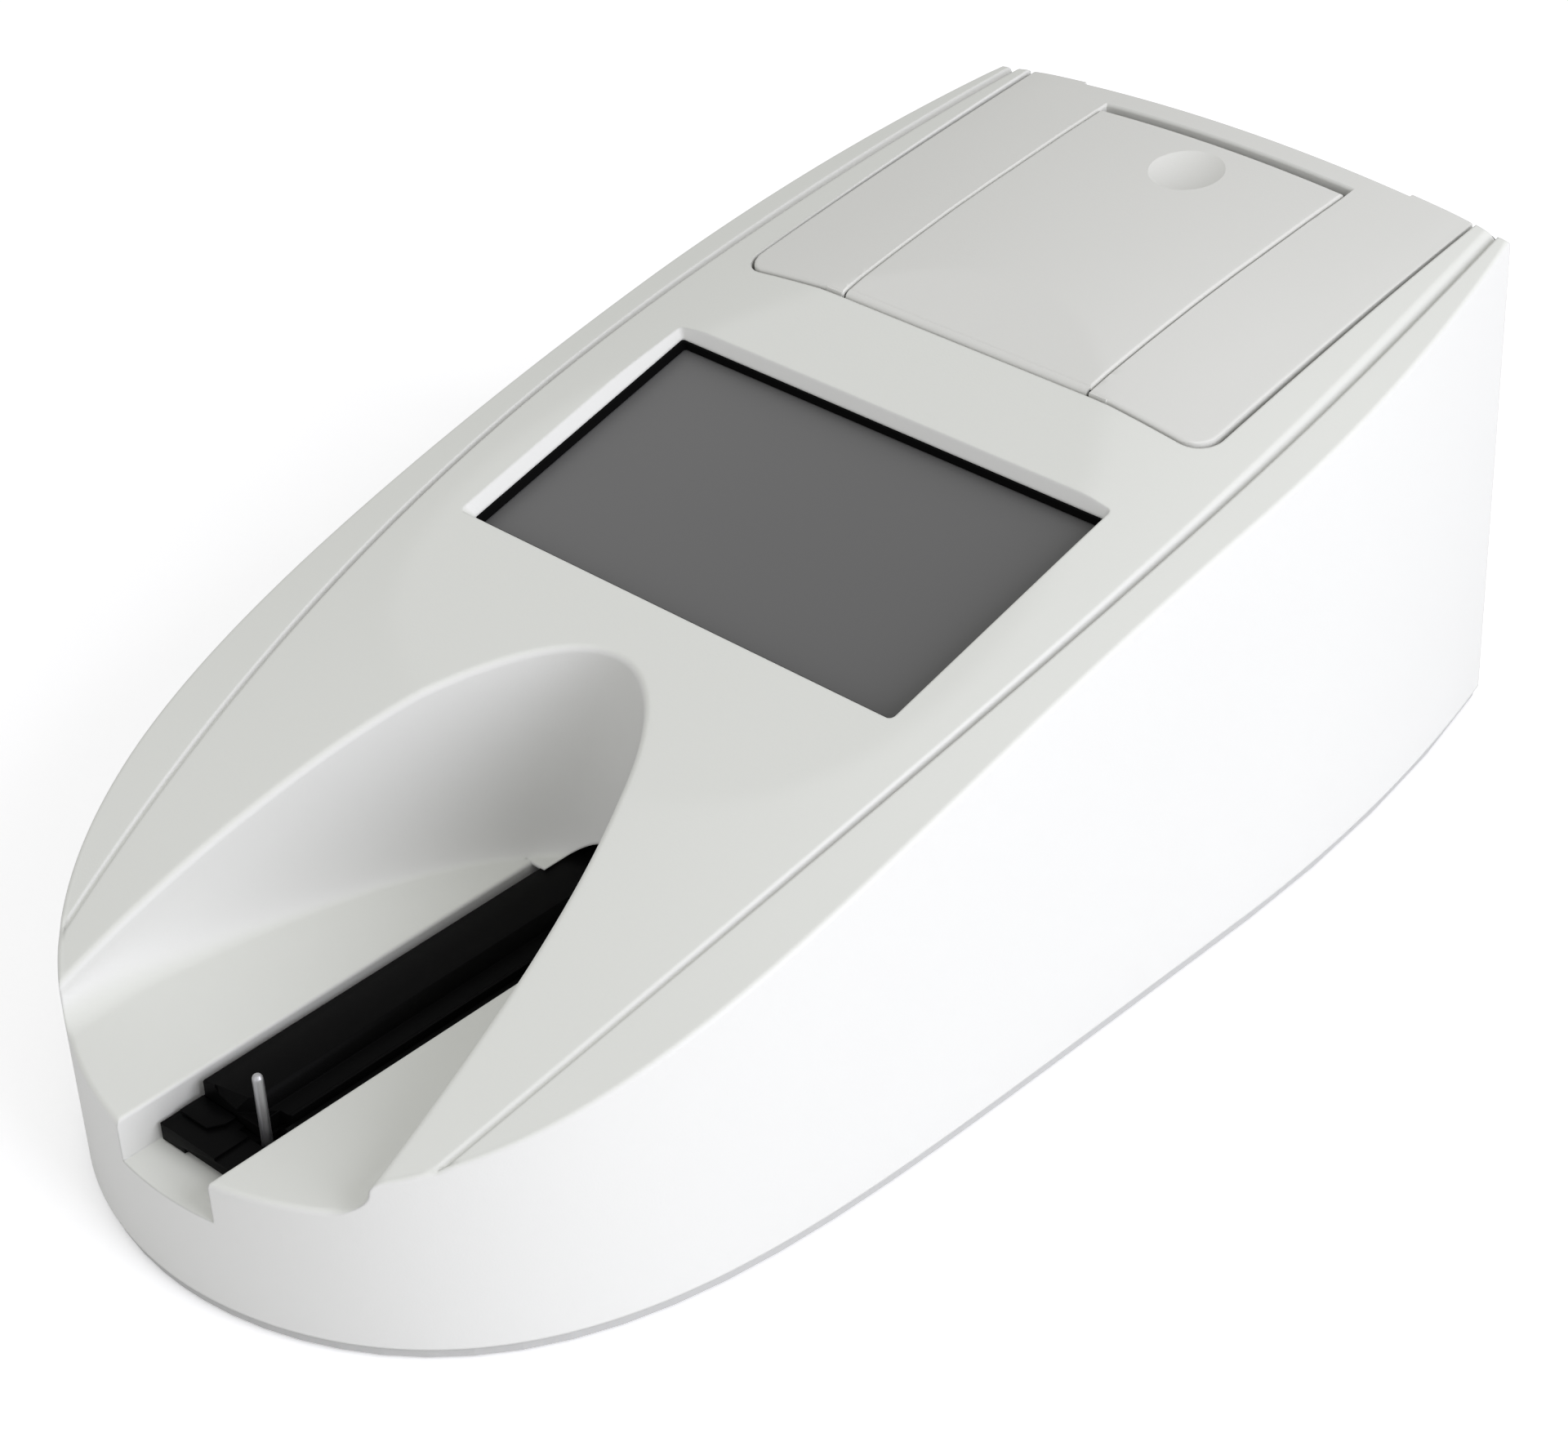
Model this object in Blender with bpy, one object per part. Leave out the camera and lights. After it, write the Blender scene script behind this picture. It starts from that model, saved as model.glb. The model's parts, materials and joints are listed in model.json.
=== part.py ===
"""Bench urine analyzer: a boat-shaped moulded housing with a strip tray in its nose scoop.

The origin is at the middle of the footprint, on the surface that the feet stand on.
The nose points to -Y, the connectors are on the +Y face, and +Z is up.
Lengths below are in millimetres and are turned into metres as the meshes are made.
"""
import math

import bmesh
import bpy
from mathutils import Matrix, Vector

mm = 0.001
gap = 0.3

# Plan outline of the housing: a blunt boat, widest a little behind the middle.
length = 290.0
half_length = length / 2
widest = 75.1
widest_at = 0.677
bow_power = 5.46
bow_root = 1.944
rear_narrowing = 11.85
shell_base = 2.8
wall = 2.5
edge_radius = 3.0

# Heights of the deck along the groove, its crown, and the flat facet round the screen.
groove_half = (66.93, 6.96, -14.93, 1.23)
groove_height = (80.79, 31.67, -12.83, 3.78)
crown_terms = (0.00105, 0.0009, -0.0005)
facet_height = 81.88
facet_tilt = math.radians(13.635)

# Scoop in the nose: an ellipse in plan whose rim lies on the deck.
scoop_centre = -half_length - 8.0
scoop_long = 120.0
scoop_apex = scoop_centre + scoop_long
scoop_half = 41.0
scoop_wall = 6.5
shelf_edge = 12.8
shelf_height = 30.7
shelf_slope = 0.15

# Channel and tray.
channel_half = 12.0
channel_floor = 22.0
mouth_top = 34.0
tray_half = 11.0
tray_bottom = channel_floor + 0.4
tray_top = 26.0
tray_front = -half_length + 9.0
tray_rear = 8.0
tray_travel = 80.0

# Rack and pinion.
module = 1.0
tooth_pitch = math.pi * module
pinion_teeth = 14
pinion_radius = pinion_teeth * module / 2
rack_line = tray_half - module
pinion_x = rack_line + pinion_radius + 0.2
pinion_y = 0.0

# Screen.
screen_rear = 39.14
screen_front = -20.18
screen_half = 54.1
screen_chamfer = 2.4
screen_under = 3.5
gasket_thick = 1.2
glass_thick = 1.4
panel_thick = 3.6
bracket_reach = 6.0
bracket_thick = 1.2
screen_slope_half = (screen_rear - screen_front) / 2 / math.cos(facet_tilt)

# Printer cover and paper lid.
cover_front = half_length - 84.7
cover_half_front = 57.1
cover_half_rear = 54.9
cover_rise = 0.4
cover_thick = 2.2
skirt_bottom = 88.0
lid_half = 30.2
lid_front = cover_front
lid_rear = half_length - 5.8
slot_rear = half_length - 3.0
hinge_radius = 1.5
pin_radius = 0.7

# Paper and printer.
roll_radius = 21.5
roll_half = 28.5
roll_y = half_length - 53.0
roll_z = 76.0
platen_y = half_length - 14.0
platen_z = 95.0
platen_radius = 4.5
platen_half = 29.0
printer_low = 72.0
printer_high = 97.0

# Feet, and the screws that come up through the base.
foot_radius = 6.0
foot_high = 0.9
screw_recess = 4.0
guide_low = 19.0

# Main board, carried on posts of the base.
board_z = 44.0
board_thick = 1.6
board_half = 48.0
board_front = 4.0
board_rear = half_length - 9.0

# Connectors on the rear wall.
port_height = 53.0
port_places = {"serial": -36.0, "keyboard": -5.0, "inlet": 15.0, "switch": 40.0}
rocker_depth = 3.0

# Detector pin at the front of the tray, and the lid's hinge.
pin_x = 6.2
pin_y = -half_length + 18.3
pin_axle_z = 24.0

colours = {
    "housing": ((0.66, 0.66, 0.63), 0.45, 0.0),
    "base": ((0.55, 0.55, 0.53), 0.5, 0.0),
    "black": ((0.012, 0.012, 0.013), 0.4, 0.0),
    "rubber": ((0.03, 0.03, 0.03), 0.8, 0.0),
    "glass": ((0.12, 0.12, 0.12), 0.12, 0.0),
    "steel": ((0.55, 0.55, 0.56), 0.3, 1.0),
    "board": ((0.02, 0.16, 0.07), 0.5, 0.0),
    "paper": ((0.85, 0.85, 0.83), 0.9, 0.0),
    "white": ((0.8, 0.8, 0.8), 0.6, 0.0),
    "grey": ((0.2, 0.2, 0.21), 0.5, 0.0),
    "brass": ((0.7, 0.5, 0.2), 0.3, 1.0),
}


def clear_scene():
    for obj in list(bpy.data.objects):
        bpy.data.objects.remove(obj, do_unlink=True)


def make_collection(name, hidden):
    made = bpy.data.collections.new(name)
    bpy.context.scene.collection.children.link(made)
    made.hide_render = hidden
    return made


def material(kind):
    name = "analyzer_" + kind
    found = bpy.data.materials.get(name)
    if found:
        return found
    colour, roughness, metallic = colours[kind]
    made = bpy.data.materials.new(name)
    made.use_nodes = True
    shader = made.node_tree.nodes["Principled BSDF"]
    shader.inputs["Base Color"].default_value = (*colour, 1.0)
    shader.inputs["Roughness"].default_value = roughness
    shader.inputs["Metallic"].default_value = metallic
    return made


clear_scene()
parts = make_collection("urine_analyzer", False)
cutters = make_collection("cutters", True)


def finish(bm, name, kind=None):
    """Turn a bmesh in millimetres into an object: a part with a material, or a cutter."""
    bmesh.ops.recalc_face_normals(bm, faces=bm.faces)
    bmesh.ops.scale(bm, vec=(mm, mm, mm), verts=bm.verts)
    mesh = bpy.data.meshes.new(name)
    bm.to_mesh(mesh)
    bm.free()
    obj = bpy.data.objects.new(name, mesh)
    if kind:
        mesh.materials.append(material(kind))
        mesh.shade_smooth()
        mesh.set_sharp_from_angle(angle=math.radians(30))
        parts.objects.link(obj)
    else:
        cutters.objects.link(obj)
        obj.hide_render = True
        obj.display_type = "WIRE"
    return obj


def add_box(bm, low, high):
    size = [b - a for a, b in zip(low, high)]
    middle = [(a + b) / 2 for a, b in zip(low, high)]
    place = Matrix.Translation(middle) @ Matrix.Diagonal((*size, 1.0))
    bmesh.ops.create_cube(bm, size=1.0, matrix=place)


def box(name, low, high, kind=None):
    bm = bmesh.new()
    add_box(bm, low, high)
    return finish(bm, name, kind)


def turn_to(axis):
    if axis == "X":
        return Matrix.Rotation(math.radians(90), 4, "Y")
    if axis == "Y":
        return Matrix.Rotation(math.radians(-90), 4, "X")
    return Matrix.Identity(4)


def add_rod(bm, centre, radius, depth, axis, sides=24, tip=None):
    bmesh.ops.create_cone(
        bm,
        cap_ends=True,
        segments=sides,
        radius1=radius,
        radius2=radius if tip is None else tip,
        depth=depth,
        matrix=Matrix.Translation(centre) @ turn_to(axis),
    )


def rod(name, centre, radius, depth, axis, kind=None, sides=24):
    bm = bmesh.new()
    add_rod(bm, centre, radius, depth, axis, sides)
    return finish(bm, name, kind)


def prism(name, outline, low, high, kind=None, place=None):
    """Extrude a closed plan outline from one height to another, optionally placed elsewhere."""
    bm = bmesh.new()
    bottom = [bm.verts.new((x, y, low)) for x, y in outline]
    face = bm.faces.new(bottom)
    made = bmesh.ops.extrude_face_region(bm, geom=[face])
    raised = [v for v in made["geom"] if isinstance(v, bmesh.types.BMVert)]
    bmesh.ops.translate(bm, vec=(0, 0, high - low), verts=raised)
    if place is not None:
        bmesh.ops.transform(bm, matrix=place, verts=bm.verts)
    return finish(bm, name, kind)


def combine(obj, other, operation):
    modifier = obj.modifiers.new(other.name, "BOOLEAN")
    modifier.operation = operation
    modifier.solver = "EXACT"
    modifier.object = other


def cut(obj, *others):
    for other in others:
        combine(obj, other, "DIFFERENCE")


def join(obj, *others):
    for other in others:
        combine(obj, other, "UNION")


def keep_in(obj, other):
    combine(obj, other, "INTERSECT")


def half_width(y):
    """Half width of the plan outline at a distance along the object."""
    t = min(max((y + half_length) / length, 0.0), 1.0)
    if t < widest_at:
        closing = max(0.0, 1 - (1 - t / widest_at) ** bow_power)
        return widest * closing ** (1 / bow_root)
    return widest - rear_narrowing * ((t - widest_at) / (1 - widest_at)) ** 2


def series(terms, s):
    return sum(term * s ** power for power, term in enumerate(terms))


def deck(x, y, faceted=True):
    """Height of the top surface: a crown lower at the sides, cut by the flat facet."""
    s = y / half_length
    crown = max(0.0003, series(crown_terms, s))
    top = series(groove_height, s) + crown * (series(groove_half, s) ** 2 - x * x)
    if faceted:
        top = min(top, facet_height + math.tan(facet_tilt) * y)
    return top


def inset_point(y, inset):
    """Point of the right-hand outline at y, moved square to it into the plan."""
    if y >= half_length - 1e-6:
        return half_width(y) - inset, half_length - inset
    step = 0.02
    x0 = half_width(y - step)
    x1 = half_width(y + step)
    tangent = Vector((x1 - x0, min(y + step, half_length) - max(y - step, -half_length)))
    if y <= -half_length + 1e-6:
        return 0.0, -half_length + inset
    tangent.normalize()
    return half_width(y) - inset * tangent.y, y + inset * tangent.x


def body(name, inset, drop, bottom, radius, rows=34, columns=18, kind=None):
    """Closed loft: upright walls on the plan outline and the deck surface over them."""
    stations = [-half_length]
    stations += [-half_length + length * (i / rows) ** 2.2 for i in range(1, rows)]
    stations += [half_length]
    bm = bmesh.new()
    grid = []
    rim = []
    for y in stations:
        x_rim, y_rim = inset_point(y, inset)
        x_in, y_in = inset_point(y, inset + radius)
        x_in = max(x_in, 0.0)
        rim.append((x_rim, y_rim))
        row = []
        for j in range(columns + 1):
            x = x_in * math.sin(math.pi / 2 * (2 * j / columns - 1))
            row.append(bm.verts.new((x, y_in, deck(x, y_in) - drop)))
        grid.append(row)
    for near, far in zip(grid, grid[1:]):
        for j in range(columns):
            bm.faces.new((near[j], near[j + 1], far[j + 1], far[j]))
    last = len(stations) - 1
    loop = [(i, 0) for i in range(last, -1, -1)]
    loop += [(i, columns) for i in range(1, last + 1)]
    loop += [(last, j) for j in range(columns - 1, 0, -1)]
    outer = []
    for i, j in loop:
        inner_vert = grid[i][j]
        x_rim, y_rim = rim[i]
        if j == 0:
            edge = (-x_rim, y_rim)
        elif j == columns:
            edge = (x_rim, y_rim)
        else:
            x_corner = grid[last][columns].co.x
            edge = (inner_vert.co.x * x_rim / x_corner, y_rim)
        outer.append((inner_vert, edge))
    rings = [[vert for vert, edge in outer]]
    steps = 3
    for k in range(1, steps + 1):
        angle = math.pi / 2 * k / steps
        reach = math.sin(angle)
        fall = radius * (1 - math.cos(angle))
        ring = []
        for vert, edge in outer:
            x = vert.co.x + (edge[0] - vert.co.x) * reach
            y = vert.co.y + (edge[1] - vert.co.y) * reach
            ring.append(bm.verts.new((x, y, vert.co.z - fall)))
        rings.append(ring)
    rings.append([bm.verts.new((edge[0], edge[1], bottom)) for vert, edge in outer])
    for upper, lower in zip(rings, rings[1:]):
        for a in range(len(upper)):
            b = (a + 1) % len(upper)
            bm.faces.new((upper[a], upper[b], lower[b], lower[a]))
    bm.faces.new(rings[-1])
    bmesh.ops.remove_doubles(bm, verts=bm.verts, dist=0.002)
    bmesh.ops.dissolve_degenerate(bm, edges=bm.edges, dist=0.001)
    return finish(bm, name, kind)


def scoop(name, grow, top):
    """Closed loft of the nose scoop: concave wall from the rim, sloped shelves, flat middle."""
    turns = 22
    levels = 5
    bm = bmesh.new()
    sides = []
    angles = [math.pi / 2 * (i / turns) ** 0.8 for i in range(turns + 1)]
    for side in (-1, 1):
        columns_made = []
        for angle in angles:
            column = []
            rim_x = (scoop_half + grow) * math.sin(angle)
            rim_y = scoop_centre + (scoop_long + grow) * math.cos(angle)
            rim_z = deck(min(rim_x, scoop_half), rim_y)
            for level in range(levels + 1):
                lean = math.pi / 2 * level / levels
                back = scoop_wall * (1 - math.sin(lean))
                x = max(0.0, (scoop_half + grow - back) * math.sin(angle))
                y = scoop_centre + (scoop_long + grow - back) * math.cos(angle)
                foot = shelf_height - grow + shelf_slope * max(0.0, x - shelf_edge)
                z = foot + (rim_z - foot) * (1 - math.cos(lean))
                column.append((side * x, y, z))
            column.append((side * rim_x, rim_y, top))
            columns_made.append(column)
        last = columns_made[-1]
        columns_made.append([(x, y - 14.0, z) for x, y, z in last])
        sides.append([[bm.verts.new(point) for point in column] for column in columns_made])
    left, right = sides
    for columns_made in sides:
        for near, far in zip(columns_made, columns_made[1:]):
            for level in range(len(near) - 1):
                bm.faces.new((near[level], far[level], far[level + 1], near[level + 1]))
    floor_rows = []
    for a, b in zip(left, right):
        x = b[0].co.x
        middle = min(x, shelf_edge)
        y = b[0].co.y
        z = shelf_height - grow
        inner = [bm.verts.new((-middle, y, z)), bm.verts.new((middle, y, z))]
        floor_rows.append([a[0], *inner, b[0]])
    for near, far in zip(floor_rows, floor_rows[1:]):
        for j in range(3):
            bm.faces.new((near[j], near[j + 1], far[j + 1], far[j]))
    for a0, a1, b0, b1 in zip(left, left[1:], right, right[1:]):
        bm.faces.new((a0[-1], a1[-1], b1[-1], b0[-1]))
    ends = [v for v in reversed(left[-1])] + floor_rows[-1][1:3] + [v for v in right[-1]]
    bm.faces.new(ends)
    bmesh.ops.remove_doubles(bm, verts=bm.verts, dist=0.002)
    bmesh.ops.dissolve_degenerate(bm, edges=bm.edges, dist=0.001)
    return finish(bm, name)


def groove(name, side):
    """Cutter swept along one groove of the deck, running out through the side near the nose."""
    profile = ((-1.9, 0.25), (-1.2, -0.55), (-0.3, -1.3), (0.75, -1.3), (0.95, 1.0), (-1.9, 1.0))
    start = -half_length + 2.0
    bm = bmesh.new()
    rings = []
    count = 30
    for i in range(count + 1):
        y = start + (half_length + 2.0 - start) * i / count
        s = y / half_length
        x0 = series(groove_half, s)
        ring = []
        for across, down in profile:
            x = x0 + across
            ring.append(bm.verts.new((side * x, y, deck(x0, y, False) + down)))
        rings.append(ring)
    for near, far in zip(rings, rings[1:]):
        for a in range(len(profile)):
            b = (a + 1) % len(profile)
            bm.faces.new((near[a], near[b], far[b], far[a]))
    bm.faces.new(rings[0])
    bm.faces.new(rings[-1])
    return finish(bm, name)


def rounded_quad(front_half, rear_half, front, rear, radius, round_rear=False):
    """Plan outline with two or four rounded corners, wider or narrower at the rear."""
    made = []
    corners = [(front_half - radius, front + radius, -90, 0)]
    if round_rear:
        corners.append((rear_half - radius, rear - radius, 0, 90))
    for x, y, start, end in corners:
        for i in range(5):
            angle = math.radians(start + (end - start) * i / 4)
            made.append((x + radius * math.cos(angle), y + radius * math.sin(angle)))
    if not round_rear:
        made.append((rear_half, rear))
    mirrored = [(-x, y) for x, y in reversed(made)]
    return made + mirrored


def panel(name, rise, thickness, ends, kind):
    """Curved panel that follows the deck, a little proud: ends holds (y, half width) from the front."""
    columns = 14
    bm = bmesh.new()
    layers = []
    for drop in (0.0, thickness):
        layer = []
        for y, half in ends:
            row = []
            for j in range(columns + 1):
                x = half * (2 * j / columns - 1)
                row.append(bm.verts.new((x, y, deck(x, y) + rise - drop)))
            layer.append(row)
        layers.append(layer)
    upper, lower = layers
    last = len(ends) - 1
    for layer in layers:
        for near, far in zip(layer, layer[1:]):
            for j in range(columns):
                bm.faces.new((near[j], near[j + 1], far[j + 1], far[j]))
    for j in range(columns):
        for i in (0, last):
            bm.faces.new((upper[i][j], upper[i][j + 1], lower[i][j + 1], lower[i][j]))
    for i in range(last):
        for j in (0, columns):
            bm.faces.new((upper[i][j], upper[i + 1][j], lower[i + 1][j], lower[i][j]))
    bmesh.ops.triangulate(bm, faces=bm.faces)
    return finish(bm, name, kind)


def spaced(start, end, count):
    return [start + (end - start) * i / count for i in range(count + 1)]


def on_facet(x, y, z):
    """Frame on the screen's facet: x across, y up the slope, z out of the surface."""
    middle = (screen_front + screen_rear) / 2
    height = facet_height + math.tan(facet_tilt) * middle
    frame = Matrix.Translation((0, middle, height)) @ Matrix.Rotation(facet_tilt, 4, "X")
    return frame @ Matrix.Translation((x, y, z))


def facet_box(name, half_x, half_y, low, high, kind=None):
    outline = [(-half_x, -half_y), (half_x, -half_y), (half_x, half_y), (-half_x, half_y)]
    return prism(name, outline, low, high, kind, on_facet(0, 0, 0))


def build_screen_cutter():
    """Chamfered opening of the screen: wide at the surface, narrow at the shell's inner side."""
    bm = bmesh.new()
    rings = []
    for grow, z in ((2.0, 2.0), (0.0, 0.0), (-screen_chamfer, -screen_chamfer), (-screen_chamfer, -8.0)):
        ring = []
        for x, y in rounded_quad(
            screen_half + grow,
            screen_half + grow,
            -screen_slope_half - grow,
            screen_slope_half + grow,
            2.6 + grow * 0.4,
            True,
        ):
            ring.append(bm.verts.new((x, y, z)))
        rings.append(ring)
    for near, far in zip(rings, rings[1:]):
        for a in range(len(near)):
            b = (a + 1) % len(near)
            bm.faces.new((near[a], near[b], far[b], far[a]))
    bm.faces.new(rings[0])
    bm.faces.new(rings[-1])
    bmesh.ops.transform(bm, matrix=on_facet(0, 0, 0), verts=bm.verts)
    return finish(bm, "screen_cutter")


def build_housing():
    housing = body("top_housing", 0.0, 0.0, shell_base, edge_radius, kind="housing")
    cavity = body("housing_cavity", wall, wall, -6.0, 1.0, rows=26, columns=12)
    cut(cavity, scoop("scoop_outside", wall, 140.0))
    channel_box = box(
        "channel_outside",
        (-channel_half - 2.0, -half_length - 5.0, channel_floor - 2.0),
        (channel_half + 2.0, scoop_apex - 3.0, shelf_height + 1.0),
    )
    cut(cavity, channel_box)
    for x, y in boss_places():
        cut(cavity, rod(f"boss_outside_{x:.0f}_{y:.0f}", (x, y, 60.0), 4.0, 100.0, "Z"))
    seat_x = screen_half - screen_chamfer + bracket_reach + 0.6
    seat_y = screen_slope_half - screen_chamfer + bracket_reach + 0.6
    seat_low = -screen_under + gap
    join(cavity, facet_box("screen_pocket", seat_x, seat_y, seat_low - 12.0, seat_low + 0.5))
    cut(cavity, facet_box("screen_seat", seat_x + 0.5, seat_y + 0.5, seat_low, 4.0))
    cut(housing, cavity)
    cut(housing, scoop("scoop_cutter", 0.0, 130.0))
    cut(
        housing,
        box(
            "channel_cutter",
            (-channel_half, -half_length - 7.0, channel_floor),
            (channel_half, scoop_apex + 13.0, mouth_top),
        ),
    )
    cut(housing, groove("groove_left", -1), groove("groove_right", 1))
    cut(housing, build_screen_cutter())
    opening = rounded_quad(
        cover_half_front + 0.5, cover_half_rear + 0.5, cover_front - 0.5, half_length + 4.0, 5.5
    )
    cut(housing, prism("cover_opening", opening, skirt_bottom - 0.5, 130.0))
    for x, y in boss_places():
        low = shell_base + 5.5
        cut(housing, rod(f"boss_hole_{x:.0f}_{y:.0f}", (x, y, low + 8.0), 1.5, 18.0, "Z", sides=12))
        trim = rod(f"boss_trim_{x:.0f}_{y:.0f}", (x, y, 1.0), 4.6, 2 * low - 2.0, "Z")
        cut(housing, trim)
    cut_ports(housing)
    return housing


def boss_places():
    rear = half_length - 45.0
    front = -half_length + 73.0
    return ((-65.4, rear), (65.4, rear), (-52.0, front), (52.0, front))


def cut_ports(housing):
    outer = half_length + 3.0
    inner = half_length - 6.0
    serial = port_places["serial"]
    low = (serial - 15.6, inner, port_height - 6.3)
    cut(housing, box("serial_hole", low, (serial + 15.6, outer, port_height + 6.3)))
    keyboard = port_places["keyboard"]
    cut(housing, rod("keyboard_hole", (keyboard, half_length, port_height), 7.0, 12.0, "Y"))
    inlet = port_places["inlet"]
    cut(housing, rod("inlet_hole", (inlet, half_length, port_height), 5.0, 12.0, "Y"))
    switch = port_places["switch"]
    low = (switch - 9.8, inner, port_height - 6.8)
    cut(housing, box("switch_hole", low, (switch + 9.8, outer, port_height + 6.8)))


def build_base():
    base = body("base_blank", 0.7, 0.0, 0.6, 0.2, rows=26, columns=4, kind="base")
    base.name = "bottom_housing"
    keep_in(base, box("base_height", (-90, -160, 0.6), (90, 160, shell_base - gap)))
    lip = body("base_lip", wall + gap, 0.0, 1.0, 0.2, rows=26, columns=4)
    keep_in(lip, box("lip_height", (-90, -160, 1.0), (90, 160, shell_base + 3.0)))
    join(base, lip)
    hollow = body("base_hollow", wall + gap + 1.6, 0.0, -3.0, 0.2, rows=26, columns=4)
    keep_in(hollow, box("hollow_height", (-90, -160, shell_base - gap - 0.01), (90, 160, 12.0)))
    cut(base, hollow)
    for x, y in boss_places():
        post = rod(f"base_boss_{x:.0f}_{y:.0f}", (x, y, 4.6), 4.4, 6.4, "Z")
        join(base, post)
        cut(base, rod(f"base_hole_{x:.0f}_{y:.0f}", (x, y, 4.0), 1.9, 12.0, "Z", sides=12))
        cut(base, rod(f"base_recess_{x:.0f}_{y:.0f}", (x, y, 0.0), 3.4, 2 * screw_recess, "Z"))
    for x, y in board_posts():
        tall = board_z - gap - 1.6
        join(base, rod(f"board_post_{x:.0f}_{y:.0f}", (x, y, 1.6 + tall / 2), 3.0, tall, "Z", sides=16))
    for y in guide_feet():
        join(base, box(f"guide_post_{y:.0f}", (-12.0, y - 4.0, 1.6), (12.0, y + 4.0, guide_low - gap)))
    return base


def board_posts():
    across = board_half - 6.0
    near = board_front + 4.0
    far = board_rear - 10.0
    return ((-across, near), (across, near), (-across, far), (across, far))


def guide_feet():
    return (-24.0, 82.0)


def build_feet():
    for x_side, x in (("left", -46.0), ("right", 46.0)):
        for y_side, y in (("front", -92.0), ("rear", 122.0)):
            name = f"foot_{y_side}_{x_side}"
            rod(name, (x, y, foot_high / 2), foot_radius, foot_high, "Z", "rubber")
            recess = rod(name + "_recess", (x, y, 0.0), foot_radius + gap, 2 * (foot_high + gap), "Z")
            cut(base, recess)


def build_screws():
    names = ("rear_left", "rear_right", "front_left", "front_right")
    for name, (x, y) in zip(names, boss_places()):
        head = screw_recess - gap
        screw = rod("housing_screw_" + name, (x, y, head - 0.9), 2.6, 1.8, "Z", "steel", sides=16)
        shank = rod("screw_shank_" + name, (x, y, head + 5.0), 1.15, 10.4, "Z", sides=10)
        join(screw, shank)
        cut(screw, box("screw_slot_" + name, (x - 0.4, y - 4, head - 3.0), (x + 0.4, y + 4, head - 1.1)))


def build_display():
    half_x = screen_half - screen_chamfer
    half_y = screen_slope_half - screen_chamfer
    gasket_low = -screen_under - gasket_thick
    gasket = facet_box("display_gasket", half_x + 1.6, half_y + 1.6, gasket_low, -screen_under, "rubber")
    cut(gasket, facet_box("gasket_window", half_x - 0.4, half_y - 0.4, gasket_low - 2.0, 2.0))
    glass_top = gasket_low - gap
    glass_low = glass_top - glass_thick
    facet_box("touch_glass", half_x + 3.0, half_y + 3.0, glass_low, glass_top, "glass")
    panel_low = glass_low - gap - panel_thick
    facet_box("lcd_module", half_x + 1.5, half_y + 1.5, panel_low, glass_low - gap, "grey")
    back = panel_low - gap
    outer_x = half_x + bracket_reach
    outer_y = half_y + bracket_reach
    frame = facet_box("display_bracket", outer_x, outer_y, back - bracket_thick, -screen_under, "steel")
    cut(frame, facet_box("bracket_hollow", half_x + 3.0 + gap, half_y + 3.0 + gap, back, 3.0))
    cut(frame, facet_box("bracket_window", half_x - 8.0, half_y - 8.0, back - 4.0, back + 2.0))


def build_cover():
    radius = 5.0
    ends = []
    for i in range(6):
        angle = math.radians(90 * i / 6)
        back = radius * (1 - math.cos(angle))
        ends.append((cover_front + back, cover_half_front - radius + radius * math.sin(angle)))
    for y in spaced(cover_front + radius, half_length - 0.1, 14):
        share = (y - cover_front) / (half_length - cover_front)
        ends.append((y, cover_half_front + (cover_half_rear - cover_half_front) * share))
    cover = panel("printer_cover", cover_rise, cover_thick, ends, "housing")
    skirt_half = cover_half_rear - 0.3
    skirt_rear = half_length - 0.15
    skirt = box(
        "cover_skirt", (-skirt_half, skirt_rear - 2.2, skirt_bottom), (skirt_half, skirt_rear, 120.0)
    )
    roof = body("cover_roof", -1.0, 0.6, 40.0, 0.2, rows=26, columns=14)
    keep_in(skirt, roof)
    join(cover, skirt)
    lid_hole = [
        (-lid_half - gap, lid_front - 2.0),
        (lid_half + gap, lid_front - 2.0),
        (lid_half + gap, slot_rear),
        (-lid_half - gap, slot_rear),
    ]
    cut(cover, prism("lid_hole", lid_hole, 20.0, 140.0))
    for side, name in ((-1, "left"), (1, "right")):
        inner = side * (lid_half + gap + 0.2)
        outer = side * (lid_half + gap + 4.2)
        low, high = sorted((inner, outer))
        corner = (high, hinge_y + 3.0, hinge_z + 1.2)
        lug = box("cover_lug_" + name, (low, hinge_y - 1.6, hinge_z - 3.0), corner)
        join(cover, lug)
    axis = (0, hinge_y, hinge_z)
    hole = rod("cover_pin_hole", axis, pin_radius + gap, 2 * (lid_half + 3.0), "X", sides=16)
    cut(cover, hole)
    return cover


hinge_y = lid_front + hinge_radius
hinge_z = deck(0, hinge_y) + cover_rise - hinge_radius - 0.2


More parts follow.
